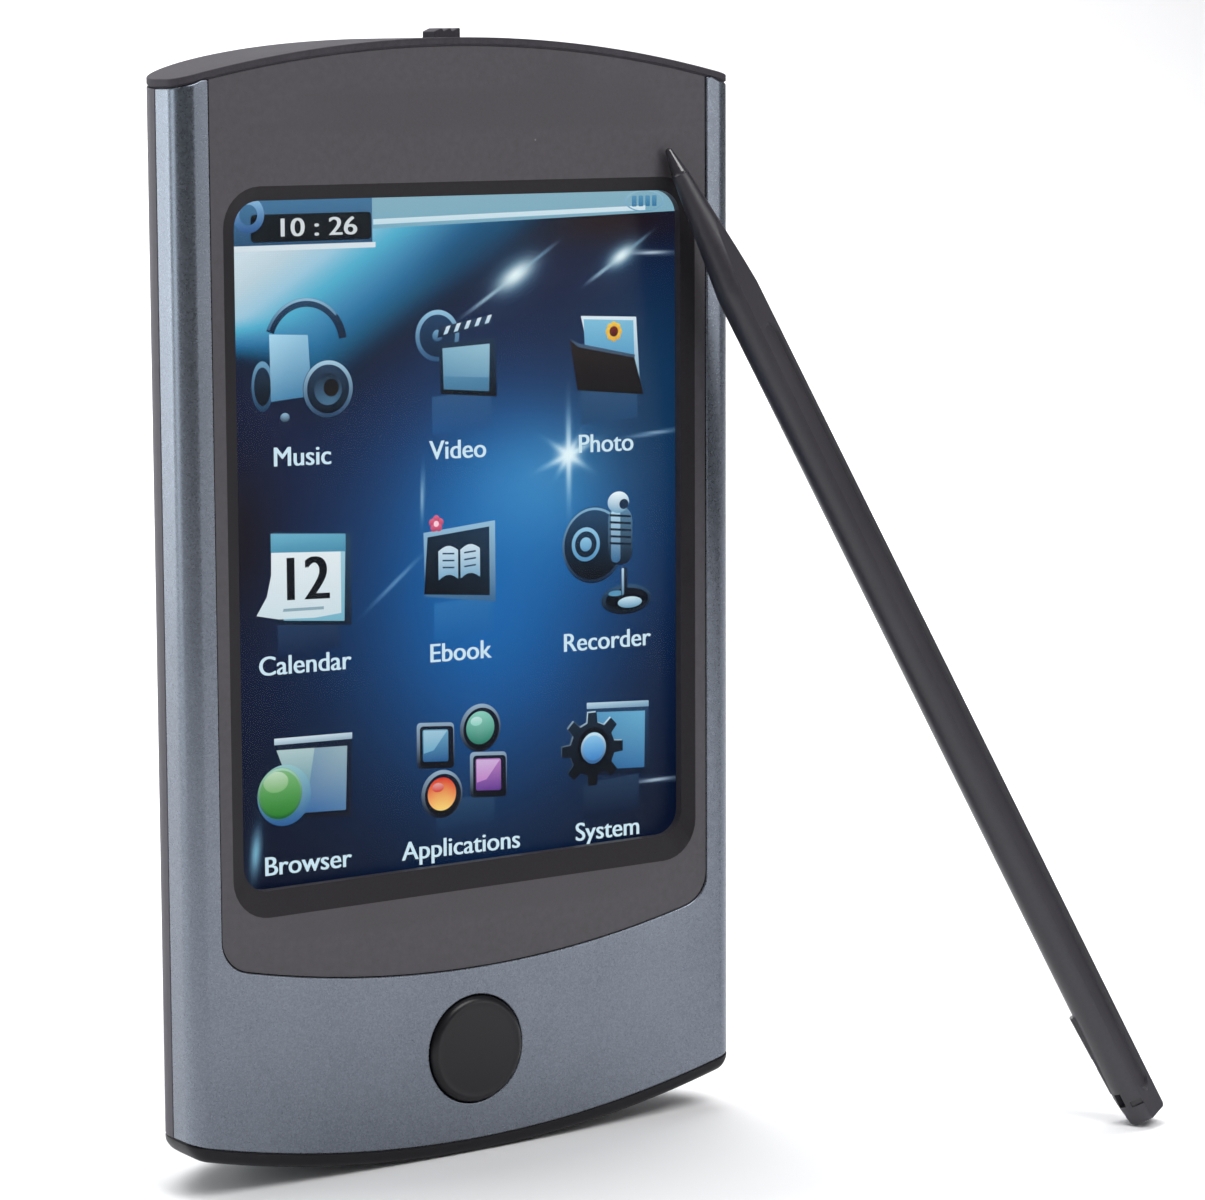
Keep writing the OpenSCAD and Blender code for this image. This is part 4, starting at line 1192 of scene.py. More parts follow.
def screw_tree():
    """Node tree: a cross-head screw, placed at the four corners of a rectangle."""
    tree = bpy.data.node_groups.get("corner_screws") or bpy.data.node_groups.new("corner_screws",
            "GeometryNodeTree")
    if tree.nodes:
        return tree
    add = tree.interface.new_socket
    for label, kind in (("Head Radius", "NodeSocketFloat"), ("Head Height", "NodeSocketFloat"),
                        ("Shank Radius", "NodeSocketFloat"), ("Shank Length", "NodeSocketFloat"),
                        ("Spacing X", "NodeSocketFloat"), ("Spacing Z", "NodeSocketFloat"),
                        ("Centre", "NodeSocketVector"), ("Material", "NodeSocketMaterial")):
        add(name=label, in_out="INPUT", socket_type=kind)
    add(name="Geometry", in_out="OUTPUT", socket_type="NodeSocketGeometry")
    nodes, links = tree.nodes, tree.links
    start, end = nodes.new("NodeGroupInput"), nodes.new("NodeGroupOutput")
    sign = lambda a, k: geometry_maths(tree, "MULTIPLY", a, k)

    def part(kind, settings, move):
        node = nodes.new(kind)
        for label, value in settings.items():
            if isinstance(value, (int, float)):
                node.inputs[label].default_value = value
            else:
                links.new(value, node.inputs[label])
        shift = nodes.new("GeometryNodeTransform")
        links.new(node.outputs["Mesh"], shift.inputs["Geometry"])
        vector = nodes.new("ShaderNodeCombineXYZ")
        links.new(move, vector.inputs["Z"])
        links.new(vector.outputs[0], shift.inputs["Translation"])
        return shift.outputs["Geometry"]

    wide = sign(start.outputs["Head Radius"], 1000.0)
    tall = sign(start.outputs["Head Height"], 1000.0)
    head = part("GeometryNodeMeshCylinder", {"Vertices": 48, "Radius": wide, "Depth": tall}, sign(tall, 0.5))
    shank = part("GeometryNodeMeshCylinder",
                 {"Vertices": 24, "Radius": start.outputs["Shank Radius"],
                  "Depth": start.outputs["Shank Length"]},
                 sign(start.outputs["Shank Length"], -0.5))
    cuts = nodes.new("GeometryNodeJoinGeometry")
    for swap in (False, True):
        cube = nodes.new("GeometryNodeMeshCube")
        size = nodes.new("ShaderNodeCombineXYZ")
        links.new(sign(wide, 1.15), size.inputs["Y" if swap else "X"])
        links.new(sign(wide, 0.27), size.inputs["X" if swap else "Y"])
        links.new(sign(tall, 0.9), size.inputs["Z"])
        links.new(size.outputs[0], cube.inputs["Size"])
        shift = nodes.new("GeometryNodeTransform")
        lift = nodes.new("ShaderNodeCombineXYZ")
        links.new(tall, lift.inputs["Z"])
        links.new(lift.outputs[0], shift.inputs["Translation"])
        links.new(cube.outputs["Mesh"], shift.inputs["Geometry"])
        links.new(shift.outputs["Geometry"], cuts.inputs[0])
    cut = nodes.new("GeometryNodeMeshBoolean")
    cut.operation = "DIFFERENCE"
    cut.solver = "EXACT"
    cut.inputs["Self Intersection"].default_value = True
    links.new(head, cut.inputs["Mesh 1"])
    links.new(cuts.outputs[0], cut.inputs["Mesh 2"])
    shrink = nodes.new("GeometryNodeTransform")
    shrink.inputs["Scale"].default_value = (0.001, 0.001, 0.001)
    links.new(cut.outputs["Mesh"], shrink.inputs["Geometry"])
    whole = nodes.new("GeometryNodeJoinGeometry")
    links.new(shrink.outputs["Geometry"], whole.inputs[0])
    links.new(shank, whole.inputs[0])
    corners = nodes.new("GeometryNodeMeshGrid")
    corners.inputs["Vertices X"].default_value = 2
    corners.inputs["Vertices Y"].default_value = 2
    links.new(start.outputs["Spacing X"], corners.inputs["Size X"])
    links.new(start.outputs["Spacing Z"], corners.inputs["Size Y"])
    place = nodes.new("GeometryNodeInstanceOnPoints")
    links.new(corners.outputs["Mesh"], place.inputs["Points"])
    links.new(whole.outputs[0], place.inputs["Instance"])
    turn = nodes.new("GeometryNodeTransform")
    turn.inputs["Rotation"].default_value = (math.radians(-90), 0, 0)
    links.new(place.outputs["Instances"], turn.inputs["Geometry"])
    links.new(start.outputs["Centre"], turn.inputs["Translation"])
    real = nodes.new("GeometryNodeRealizeInstances")
    links.new(turn.outputs["Geometry"], real.inputs["Geometry"])
    paint = nodes.new("GeometryNodeSetMaterial")
    links.new(real.outputs["Geometry"], paint.inputs["Geometry"])
    links.new(start.outputs["Material"], paint.inputs["Material"])
    links.new(paint.outputs["Geometry"], end.inputs["Geometry"])
    return tree


def geometry_maths(tree, operation, a, b):
    node = tree.nodes.new("ShaderNodeMath")
    node.operation = operation
    tree.links.new(a, node.inputs[0])
    node.inputs[1].default_value = b
    return node.outputs[0]


def screw_pieces():
    """Case screws and board screws, from one node tree."""
    (left, low), (right, _), _, (_, high) = screw_spots()
    head_t = 1.2 * MM
    seat = SCREWS_HIGH.y - head_t
    run_nodes(
        "cross_head_screws", screw_tree(),
        {"Head Radius": 1.8 * MM, "Head Height": head_t, "Shank Radius": 0.8 * MM,
         "Shank Length": seat - SCREWS_LOW.y, "Spacing X": right - left, "Spacing Z": high - low,
         "Centre": (0.0, seat, (low + high) / 2), "Material": finish("black_screw")},
        "case", finish("black_screw"), ["case_screws"])
    lowest, highest = cad("board_screws")
    head_r, head_t = 1.3 * MM, 0.7 * MM
    seat = highest.y - head_t
    run_nodes(
        "small_board_screws", screw_tree(),
        {"Head Radius": head_r, "Head Height": head_t, "Shank Radius": 0.6 * MM,
         "Shank Length": seat - lowest.y, "Spacing X": highest.x - lowest.x - 2 * head_r,
         "Spacing Z": highest.z - lowest.z - 2 * head_r,
         "Centre": ((highest.x + lowest.x) / 2, seat,
                    (highest.z + lowest.z) / 2), "Material": finish("plated_steel")},
        "case", finish("plated_steel"), ["board_screws"])


# ---------------------------------------------------------------- lit picture


def glow(x, z, cx, cz, rx, rz, turn=0.0):
    """Soft elliptical spot of light."""
    a = math.radians(turn)
    dx, dz = x - cx, z - cz
    u = (dx * math.cos(a) + dz * math.sin(a)) / rx
    v = (dz * math.cos(a) - dx * math.sin(a)) / rz
    return math.exp(-(u * u + v * v))


def mix(a, b, t):
    t = min(max(t, 0.0), 1.0)
    return [p + (q - p) * t for p, q in zip(a, b)]


def smooth(low, high, value):
    t = min(max((value - low) / (high - low), 0.0), 1.0)
    return t * t * (3 - 2 * t)


BEAM = (
    (5.0, (206, 222, 230)), (7.5, (188, 210, 220)), (9.9, (158, 200, 220)), (12.5, (82, 174, 204)),
    (15.2, (62, 134, 176)), (16.8, (38, 112, 158)), (18.8, (20, 84, 120)), (21.5, (14, 30, 52)),
    (24.0, (16, 24, 40)),
)


def beam_colour(ray):
    """Colour across the pale beam that falls from the upper left corner."""
    if ray <= BEAM[0][0]:
        return BEAM[0][1]
    for (r0, c0), (r1, c1) in zip(BEAM, BEAM[1:]):
        if ray <= r1:
            return mix(c0, c1, (ray - r0) / (r1 - r0))
    return BEAM[-1][1]


def wallpaper(x, z):
    """Colour of the wallpaper at a point, in millimetres from the case's middle and the floor."""
    night, deep = (7, 14, 34), (20, 26, 54)
    c = mix(deep, night, smooth(60, 26, z))
    c = mix(c, (16, 96, 168), 0.98 * glow(x, z, 3, 47, 14.5, 17))
    c = mix(c, (30, 112, 182), 0.9 * glow(x, z, 7, 56, 11, 9, -12))
    c = mix(c, (88, 164, 210), 0.5 * glow(x, z, 10, 58.5, 8, 5, 8))
    c = mix(c, (16, 62, 98), 0.7 * glow(x, z, 21, 66, 8, 12))
    c = mix(c, (34, 20, 22), 0.9 * glow(x, z, 15, 80.8, 10, 2.4, -3))
    c = mix(c, (26, 18, 18), 0.7 * glow(x, z, -22, 55, 4, 7))
    ray = (x + 21.6) * 0.62 + (82.9 - z) + 1.2 * max(0.0, -14 - x) * smooth(9, 14, 82.9 - z)
    c = mix(c, beam_colour(ray), smooth(25.5, 18.5, ray))
    c = mix(c, (16, 66, 104), 0.55 * glow(x, z, 2, 79, 6, 2.6, 28))
    for cx, cz, size in ((6.1, 76.1, 1.0), (17.2, 77.4, 0.7)):
        c = mix(c, (120, 190, 214), 0.55 * glow(x, z, cx, cz, 2.6 * size, 1.5 * size, 30))
        c = mix(c, (236, 248, 248), glow(x, z, cx, cz, 1.9 * size, 0.75 * size, 30))
        c = mix(c, (190, 226, 238), 0.8 * glow(x, z, cx - 3.0 * size, cz - 1.9 * size, 2.4 * size, 0.16, 31))
        c = mix(c, (150, 200, 222), 0.6 * glow(x, z, cx + 2.6 * size, cz + 1.6 * size, 2.0 * size, 0.14, 32))
    c = mix(c, (205, 226, 240), 0.85 * glow(x, z, 20.4, 77.6, 2.2, 0.16, -2))
    for turn, reach in ((90, 3.4), (20, 2.4), (-32, 1.9), (55, 1.5)):
        c = mix(c, (214, 240, 250), glow(x, z, 11.5, 60.2, reach, 0.26, turn))
    c = mix(c, (232, 248, 252), glow(x, z, 11.5, 60.2, 1.1, 0.95))
    c = mix(c, (176, 206, 230), 0.7 * glow(x, z, 20.6, 61.6, 2.6, 0.16, 4))
    c = mix(c, (150, 190, 222), 0.6 * glow(x, z, -6.4, 50.4, 2.9, 0.17, 38))
    c = mix(c, (190, 222, 236), 0.7 * glow(x, z, -3.6, 57.6, 1.9, 0.16, 88))
    c = mix(c, (196, 220, 236), 0.85 * glow(x, z, 20.8, 30.4, 2.4, 0.15, -2))
    c = mix(c, (130, 190, 214), 0.9 * glow(x, z, -20.4, 28.6, 0.5, 2.0, -6))
    return c


def to_linear(byte):
    v = min(max(byte / 255, 0.0), 1.0)
    return v / 12.92 if v <= 0.04045 else ((v + 0.055) / 1.055) ** 2.4


def picture_piece():
    """The lit picture: a sheet on the display's face whose points carry the wallpaper's colours."""
    s = sizes()
    y = GLASS_LOW.y - 0.004 * MM
    w, h = s.picture_width, s.picture_height
    columns, rows = 216, 288
    mesh = bpy.data.meshes.new("lit_picture")
    verts, faces, tones = [], [], []
    for j in range(rows + 1):
        for i in range(columns + 1):
            x = -w / 2 + w * i / columns
            z = s.picture_z - h / 2 + h * j / rows
            verts.append((x, y, z))
            tones.append([to_linear(v) for v in wallpaper(x / MM, z / MM)] + [1.0])
    for j in range(rows):
        for i in range(columns):
            a = j * (columns + 1) + i
            faces.append((a, a + 1, a + columns + 2, a + columns + 1))
    mesh.from_pydata(verts, [], faces)
    layer = mesh.color_attributes.new("glow", "FLOAT_COLOR", "POINT")
    layer.data.foreach_set("color", [v for tone in tones for v in tone])
    wipe("lit_picture")
    piece = bpy.data.objects.new("lit_picture", mesh)
    bpy.context.scene.collection.objects.link(piece)
    return dress(piece, "case", finish("picture_light"))


class Ink:
    """Collects flat coloured shapes that lie in thin layers in front of the picture."""

    def __init__(self):
        self.verts, self.faces, self.tones = [], [], []
        self.layer = 0
        self.origin = (0.0, 0.0)

    def at(self, x, z):
        """Sets the point, in millimetres, that later shapes are drawn round."""
        self.origin = (x, z)

    def shape(self, outer, top, bottom=None, holes=(), lean=0.0):
        """Adds a filled outline in millimetres, shaded from one colour at its top to another at its foot."""
        self.layer += 1
        y = GLASS_LOW.y - (0.006 + 0.00035 * self.layer) * MM
        mid_x, mid_z = self.origin
        loops = [[((mid_x + x) * MM, (mid_z + z) * MM) for x, z in loop] for loop in (outer, *holes)]
        points, faces = fill(loops[0], loops[1:])
        low = min(z - lean * x for x, z in outer)
        high = max(z - lean * x for x, z in outer)
        first = len(self.verts)
        for x, z in points:
            t = (z / MM - mid_z - lean * (x / MM - mid_x) - low) / (high - low or 1)
            tone = mix(bottom or top, top, t)
            self.verts.append((x, y, z))
            self.tones.append([to_linear(v) for v in tone] + [1.0])
        self.faces += [tuple(first + i for i in face) for face in faces]

    def disc(self, cx, cz, rx, rz, top, bottom=None, steps=40):
        self.shape(arc(cx, cz, rx, rz, 0, 360, steps)[:-1], top, bottom)

    def ring(self, cx, cz, r_out, r_in, top, bottom=None, start=0, end=360, squash=1.0):
        if end - start >= 360:
            self.shape(arc(cx, cz, r_out, r_out * squash, 0, 360, 48)[:-1], top, bottom,
                       [arc(cx, cz, r_in, r_in * squash, 0, 360, 48)[:-1]])
            return
        outer = arc(cx, cz, r_out, r_out * squash, start, end, 30)
        self.shape(outer + arc(cx, cz, r_in, r_in * squash, end, start, 30), top, bottom)

    def tile(self, cx, cz, w, h, r, top, bottom=None, slant=0.0):
        loop = rounded_box(0, 0, w, h, r, 5, 5)
        self.shape([(cx + x, cz + z + slant * x) for x, z in loop], top, bottom)

    def word(self, text, cx, cz, size, rgb, slant=0.0, squeeze=1.0, heavy=0.0):
        """Adds a plain word centred on a point, with capitals of a given size. A heavy one is wider."""
        curve = bpy.data.curves.new("word", "FONT")
        curve.body = text
        curve.align_x = "CENTER"
        curve.align_y = "CENTER"
        curve.resolution_u = 5
        host = bpy.data.objects.new("word", curve)
        bpy.context.scene.collection.objects.link(host)
        bpy.context.view_layer.update()
        mesh = bpy.data.meshes.new_from_object(host.evaluated_get(bpy.context.evaluated_depsgraph_get()))
        bpy.data.objects.remove(host, do_unlink=True)
        k = size / 0.69
        for shift in (-heavy, 0.0, heavy) if heavy else (0.0,):
            self.layer += 1
            y = GLASS_LOW.y - (0.006 + 0.00035 * self.layer) * MM
            first = len(self.verts)
            for v in mesh.vertices:
                x = v.co.x * k * squeeze + shift
                z = v.co.y * k + slant * x
                self.verts.append(((self.origin[0] + cx + x) * MM, y, (self.origin[1] + cz + z) * MM))
                self.tones.append([to_linear(c) for c in rgb] + [1.0])
            self.faces += [tuple(first + i for i in f.vertices) for f in mesh.polygons]
        bpy.data.meshes.remove(mesh)

    def gleam(self, x0, x1, z_top, depth, rgb, lean=0.0):
        """Adds the reflection under an icon, which fades into the wallpaper."""
        foot = wallpaper((x0 + x1) / 2, z_top - depth)
        self.shape([(x0, z_top), (x0, z_top - depth), (x1, z_top - depth + lean), (x1, z_top + lean)], rgb,
                   foot)


WHITE, PALE, NAVY, BLACK = (224, 236, 242), (178, 210, 226), (14, 30, 52), (8, 12, 18)


def status_bar(ink):
    """Pale bar along the top, with the clock's dark box and a small battery mark."""
    s = sizes()
    top = (s.sight_z + s.sight_height / 2) / MM
    half = s.picture_width / 2 / MM
    ink.shape([(-half, top - 3.0), (half, top - 1.9), (half, top), (-half, top)], (134, 176, 192),
              (122, 170, 190))
    ink.shape([(-8.2, top - 2.3), (half - 3.4, top - 1.75), (half - 3.4, top - 1.35), (-8.2, top - 1.85)],
              (214, 230, 236), (196, 222, 232))
    ink.shape([(-half, top - 3.75), (-8.3, top - 3.75), (-8.3, top), (-half, top)], (70, 118, 156),
              (40, 78, 112))
    ink.tile(-14.2, top - 2.35, 11.6, 2.3, 0.35, (14, 22, 28), (10, 16, 22))
    ink.ring(-20.2, top - 1.2, 1.5, 0.85, (150, 196, 226), (44, 86, 140))
    ink.word("10 : 26", -13.7, top - 2.4, 1.5, (214, 220, 222), 0.0, 1.32, 0.05)
    ink.shape([(-half, top - 4.2), (-8.0, top - 4.2), (-8.0, top - 3.75), (-half, top - 3.75)],
              (216, 226, 232))
    for k in range(4):
        ink.tile(18.6 + 0.72 * k, top - 0.95, 0.5, 0.95, 0.08, (92, 150, 184), (60, 120, 160))
    ink.ring(19.7, top - 0.95, 2.1, 1.9, (150, 190, 210), (110, 160, 190), squash=0.45)


def music_icon(ink):
    """Headphones round a sheet."""
    ink.ring(0.5, 1.6, 4.0, 3.25, (40, 70, 100), NAVY, 8, 160)
    ink.ring(0.5, 1.6, 3.98, 3.75, (150, 190, 214), (60, 100, 136), 40, 158)
    ink.disc(-3.7, -1.6, 1.05, 2.1, (36, 58, 84), BLACK)
    ink.ring(-3.7, -1.6, 1.05, 0.8, (110, 160, 190), (30, 60, 90), squash=2.0)
    ink.shape([(-3.0, 2.7), (0.7, 2.5), (1.0, -2.6), (-2.9, -2.9)],
              (172, 216, 236), (60, 120, 160), lean=0.4)
    ink.disc(2.6, -2.1, 2.45, 2.45, (40, 64, 92), (6, 10, 18))
    ink.ring(2.6, -2.1, 2.4, 2.05, (168, 204, 222), (36, 64, 96))
    ink.disc(2.6, -2.1, 1.35, 1.35, (22, 34, 52), (70, 110, 140))
    ink.disc(2.9, -2.0, 0.75, 0.75, (12, 14, 20), (30, 26, 24))
    ink.disc(-1.6, -4.3, 0.45, 0.4, (150, 190, 214), NAVY)


def video_icon(ink):
    """Clapper board in front of a disc."""
    ink.disc(-2.0, 1.9, 2.15, 2.2, (30, 64, 100), (16, 34, 60))
    ink.ring(-2.0, 1.9, 2.2, 1.8, (150, 196, 220), (40, 80, 120))
    ink.disc(-2.0, 1.9, 0.5, 0.5, (120, 170, 200), (40, 80, 120))
    ink.shape([(-2.0, 1.7), (3.5, 2.7), (3.6, 3.5), (-1.8, 2.6)], (48, 74, 100), NAVY)
    for k in range(5):
        px = -1.4 + 1.05 * k
        pz = 1.95 + 0.19 * k
        ink.shape([(px, pz), (px + 0.42, pz + 0.08), (px + 0.75, pz + 0.78), (px + 0.33, pz + 0.7)], WHITE,
                  PALE)
    ink.shape([(-1.9, 1.2), (3.9, 1.5), (4.0, -3.6), (-1.7, -3.1)], (30, 52, 76), BLACK)
    ink.shape([(-1.5, 0.8), (3.3, 1.0), (3.2, -3.1), (-1.4, -2.7)],
              (150, 192, 208), (76, 132, 168), lean=-0.2)
    ink.shape([(-1.45, -1.6), (3.2, -1.9), (3.2, -3.1), (-1.4, -2.7)], (84, 136, 168), (64, 116, 152))


def photo_icon(ink):
    """A snapshot of a flower in a dark wallet."""
    ink.shape([(-2.6, 3.0), (3.3, 2.7), (3.7, -3.4), (-1.6, -1.0)], WHITE, (120, 170, 196))
    ink.shape([(-2.3, 2.7), (3.0, 2.4), (3.1, -0.8), (-2.2, 0.4)], (128, 190, 216), (90, 156, 196))
    for k in range(8):
        a = math.radians(45 * k)
        ink.disc(0.9 + 0.55 * math.cos(a), 1.5 + 0.55 * math.sin(a), 0.34, 0.34, (246, 208, 84),
                 (226, 160, 50), 14)
    ink.disc(0.9, 1.5, 0.46, 0.46, (120, 34, 24), (70, 20, 18))
    ink.shape([(-3.8, 1.0), (-2.9, 0.3), (3.1, -0.9), (4.1, -4.2), (-3.0, -3.5)],
              (34, 26, 26), (12, 10, 12))
    ink.shape([(-3.8, 1.0), (-2.9, 0.3), (3.1, -0.9), (3.2, -0.65), (-2.8, 0.6)],
              (70, 96, 120), (60, 80, 104))


def calendar_icon(ink):
    """A calendar leaf that curls at its foot."""
    ink.shape([(-2.9, 4.0), (4.6, 3.4), (4.6, -4.4), (-2.7, -3.8)], (40, 70, 96), (18, 30, 48))
    ink.shape([(-3.1, 3.9), (4.1, 3.4), (3.9, -4.0), (-2.0, -3.5)], (168, 208, 220), (120, 180, 200))
    ink.shape([(-3.1, 3.9), (3.6, 3.4), (3.6, -3.3), (1.0, -3.5), (-2.5, -3.35),
               (-4.6, -2.9), (-3.6, -1.4), (-3.15, 0.4)], (234, 240, 242), (206, 222, 228))
    ink.shape([(-3.15, 3.9), (4.1, 3.4), (4.1, 1.9), (-3.15, 2.3)], (110, 176, 200), (72, 140, 170))
    ink.word("12", 0.0, -0.3, 3.6, (16, 20, 26), -0.04, 0.98, 0.13)
    ink.shape([(-2.0, -2.5), (1.9, -2.6), (1.9, -2.85), (-2.1, -2.75)], (140, 168, 180))


def book_icon(ink):
    """An open book on a dark cover."""
    ink.shape([(-3.6, 2.9), (3.7, 3.5), (3.7, -3.6), (-3.5, -2.6)], (150, 190, 214), (56, 100, 140))
    ink.shape([(-3.2, 2.5), (3.1, 3.0), (3.1, -3.0), (-3.6, -2.4)], (32, 56, 80), BLACK, lean=-0.5)
    for side in (-1, 1):
        leaf = [(side * 0.12, -1.3), (side * 0.12, 1.2)]
        for edge, steps in ((1.2, spaced(0, 1, 0.2)[1:]), (-1.3, spaced(1, 0, 0.2)[:-1])):
            leaf += [(side * (0.12 + 2.0 * t), edge + 0.42 * math.sin(math.pi * t)) for t in steps]
        ink.shape(leaf, (208, 226, 236), (120, 168, 198))
        for k in range(3):
            pz = 0.75 - 0.6 * k
            ink.shape([(side * 0.5, pz + 0.22), (side * 1.7, pz + 0.3), (side * 1.7, pz + 0.16),
                       (side * 0.5, pz + 0.08)], (40, 70, 100))
    for k in range(5):
        a = math.radians(72 * k + 18)
        ink.disc(-2.3 + 0.42 * math.cos(a), 3.6 + 0.42 * math.sin(a), 0.34, 0.34, (226, 110, 140),
                 (180, 60, 96), 12)
    ink.disc(-2.3, 3.6, 0.26, 0.26, (250, 210, 220))


def recorder_icon(ink):
    """A microphone on a stand in front of a record dot."""
    ink.disc(-1.4, 0.6, 3.3, 3.4, (40, 76, 112), (3, 6, 12))
    ink.ring(-1.4, 0.6, 3.3, 3.08, (130, 176, 204), (20, 40, 66))
    ink.ring(-2.2, 0.7, 1.5, 1.15, (150, 200, 226), (84, 146, 190))
    ink.disc(-2.2, 0.7, 0.62, 0.62, (150, 200, 226), (90, 150, 190))
    ink.disc(2.1, -4.5, 2.7, 1.35, (50, 84, 116), BLACK)
    ink.disc(2.2, -4.5, 2.3, 1.0, (10, 18, 30), (4, 8, 14))
    ink.disc(2.5, -4.8, 1.3, 0.5, (206, 232, 240), (96, 150, 180))
    ink.disc(1.0, -3.9, 0.8, 0.25, (90, 150, 184))
    ink.tile(1.9, -2.9, 0.7, 2.6, 0.3, (30, 50, 74), BLACK)
    ink.tile(1.75, -2.9, 0.25, 2.4, 0.1, (190, 216, 230), (90, 130, 160))
    ink.tile(1.5, 1.2, 2.6, 5.2, 1.2, (96, 140, 170), (14, 26, 42), -0.06)
    ink.tile(1.0, 1.2, 1.0, 4.7, 0.45, (186, 220, 236), (56, 104, 146), -0.06)
    for k in range(5):
        ink.shape([(0.35, 3.2 - 0.62 * k), (2.65, 2.95 - 0.62 * k), (2.65, 2.75 - 0.62 * k),
                   (0.35, 3.0 - 0.62 * k)], (20, 34, 52))
    ink.disc(1.3, 4.2, 1.15, 0.95, (240, 250, 252), (110, 160, 190))
    ink.disc(1.9, 4.0, 0.5, 0.45, (30, 50, 74))


def browser_icon(ink):
    """A window with a green ball in front of it."""
    ink.shape([(-3.1, 3.9), (4.5, 3.7), (4.3, -3.5), (-0.5, -3.1)], (20, 32, 54), (10, 14, 28))
    ink.shape([(-3.1, 3.9), (4.5, 3.7), (4.5, 3.15), (-3.1, 3.35)], (216, 230, 236), (140, 170, 188))
    ink.shape([(-2.9, 2.9), (4.0, 2.6), (3.8, -2.9), (-0.3, -2.7)], (150, 176, 184), (50, 100, 156),
              lean=-0.6)
    ink.shape([(-2.9, 2.9), (0.8, 2.75), (0.2, -0.6), (-1.6, -0.4)], (176, 200, 200), (96, 146, 160))
    ink.disc(-2.2, -1.0, 2.6, 2.6, (150, 196, 200), (40, 90, 146))
    ink.disc(-2.6, -0.8, 2.15, 2.2, (132, 186, 128), (36, 120, 36))
    ink.disc(-3.0, 0.2, 1.2, 0.9, (190, 216, 186), (120, 176, 110))
    ink.ring(-2.6, -0.8, 2.15, 1.95, (170, 210, 190), (26, 92, 40))


def applications_icon(ink):
    """Two tiles and two discs, set apart like playing pieces."""
    spots = (
        (-2.6, 1.7, (110, 168, 196), (36, 88, 140), False),
        (2.0, 2.8, (140, 206, 190), (40, 120, 100), True),
        (-2.0, -2.6, (214, 50, 40), (250, 214, 120), True),
        (2.8, -1.4, (190, 130, 196), (96, 56, 140), False),
    )
    for dx, dz, top, bottom, is_round in spots:
        if is_round:
            ink.disc(dx, dz, 2.1, 2.1, (150, 176, 196), (10, 14, 26))
            ink.disc(dx + 0.1, dz - 0.1, 1.85, 1.85, (18, 26, 44), BLACK)
            ink.disc(dx, dz, 1.45, 1.45, top, bottom)
            ink.disc(dx - 0.4, dz + 0.6, 0.6, 0.4, mix(top, WHITE, 0.6), top)
        else:
            ink.tile(dx, dz, 3.8, 4.0, 0.4, (150, 176, 196), (10, 14, 26), -0.08)
            ink.tile(dx + 0.12, dz - 0.12, 3.4, 3.6, 0.35, (18, 26, 44), BLACK, -0.08)
            ink.tile(dx, dz, 2.6, 2.8, 0.2, top, bottom, -0.08)
            ink.shape([(dx - 1.2, dz + 1.4), (dx + 1.2, dz + 1.2), (dx - 0.2, dz - 0.4),
                       (dx - 1.2, dz - 0.6)], mix(top, WHITE, 0.45), top)


def system_icon(ink):
    """A toothed wheel in front of a window."""
    ink.shape([(-2.2, 3.9), (4.5, 3.5), (4.5, -3.0), (-1.0, -2.7)], (36, 66, 100), (12, 24, 44))
    ink.shape([(-2.2, 3.9), (4.5, 3.5), (4.5, 2.95), (-2.2, 3.35)], (190, 216, 228), (110, 150, 178))
    ink.shape([(-1.6, 3.0), (4.1, 2.6), (4.0, -2.5), (-0.8, -2.2)], (104, 170, 204), (40, 96, 150), lean=-0.4)
    wheel = []
    for k in range(8):
        a = 45 * k
        for offset, r in ((-13, 2.4), (-8, 3.3), (8, 3.3), (13, 2.4)):
            t = math.radians(a + offset)
            wheel.append((-1.6 + r * math.cos(t), -0.3 + r * math.sin(t)))
    ink.shape([(px - 0.12, pz + 0.12) for px, pz in wheel], (190, 220, 234), (20, 36, 56), lean=-0.5)
    ink.shape(wheel, (26, 42, 60), (3, 5, 10))
    ink.disc(-1.5, -0.2, 1.75, 1.85, (6, 10, 18))
    ink.disc(-1.5, -0.2, 1.3, 1.4, (150, 206, 236), (52, 120, 190))
    ink.ring(-1.5, -0.2, 1.35, 1.12, (206, 230, 240), (50, 96, 146))


def icon_piece():
    """Status bar, nine icons and their plain words, as thin coloured shapes on the picture."""
    ink = Ink()
    status_bar(ink)
    columns = (-15.4, 0.05, 15.45)
    rows = (69.3, 51.5, 34.2)
    words = (("Music", "Video", "Photo"), ("Calendar", "Ebook", "Recorder"),
             ("Browser", "Applications", "System"))
    drawings = ((music_icon, video_icon, photo_icon), (calendar_icon, book_icon, recorder_icon),
                (browser_icon, applications_icon, system_icon))
    for i, z in enumerate(rows):
        for j, x in enumerate(columns):
            if (i, j) not in ((0, 0), (2, 0), (1, 2)):
                ink.gleam(x - 2.6, x + 3.4, z - 3.3, 3.2, mix(wallpaper(x, z - 4), (140, 180, 204), 0.18),
                          0.3)
            ink.at(x, z)
            drawings[i][j](ink)
            ink.word(words[i][j], 0.0, 0.3 * i - 8.0 - 0.022 * x, 1.6, (206, 230, 240), -0.02, 1.06, 0.045)
            ink.at(0.0, 0.0)
    mesh = bpy.data.meshes.new("screen_icons")
    mesh.from_pydata(ink.verts, [], ink.faces)
    layer = mesh.color_attributes.new("glow", "FLOAT_COLOR", "POINT")
    layer.data.foreach_set("color", [v for tone in ink.tones for v in tone])
    wipe("screen_icons")
    piece = bpy.data.objects.new("screen_icons", mesh)
    bpy.context.scene.collection.objects.link(piece)
    bm = bmesh.new()
    bm.from_mesh(mesh)
    for face in bm.faces:
        if face.normal.y > 0:
            face.normal_flip()
    bm.to_mesh(mesh)
    bm.free()
    return dress(piece, "case", finish("icon_light"))


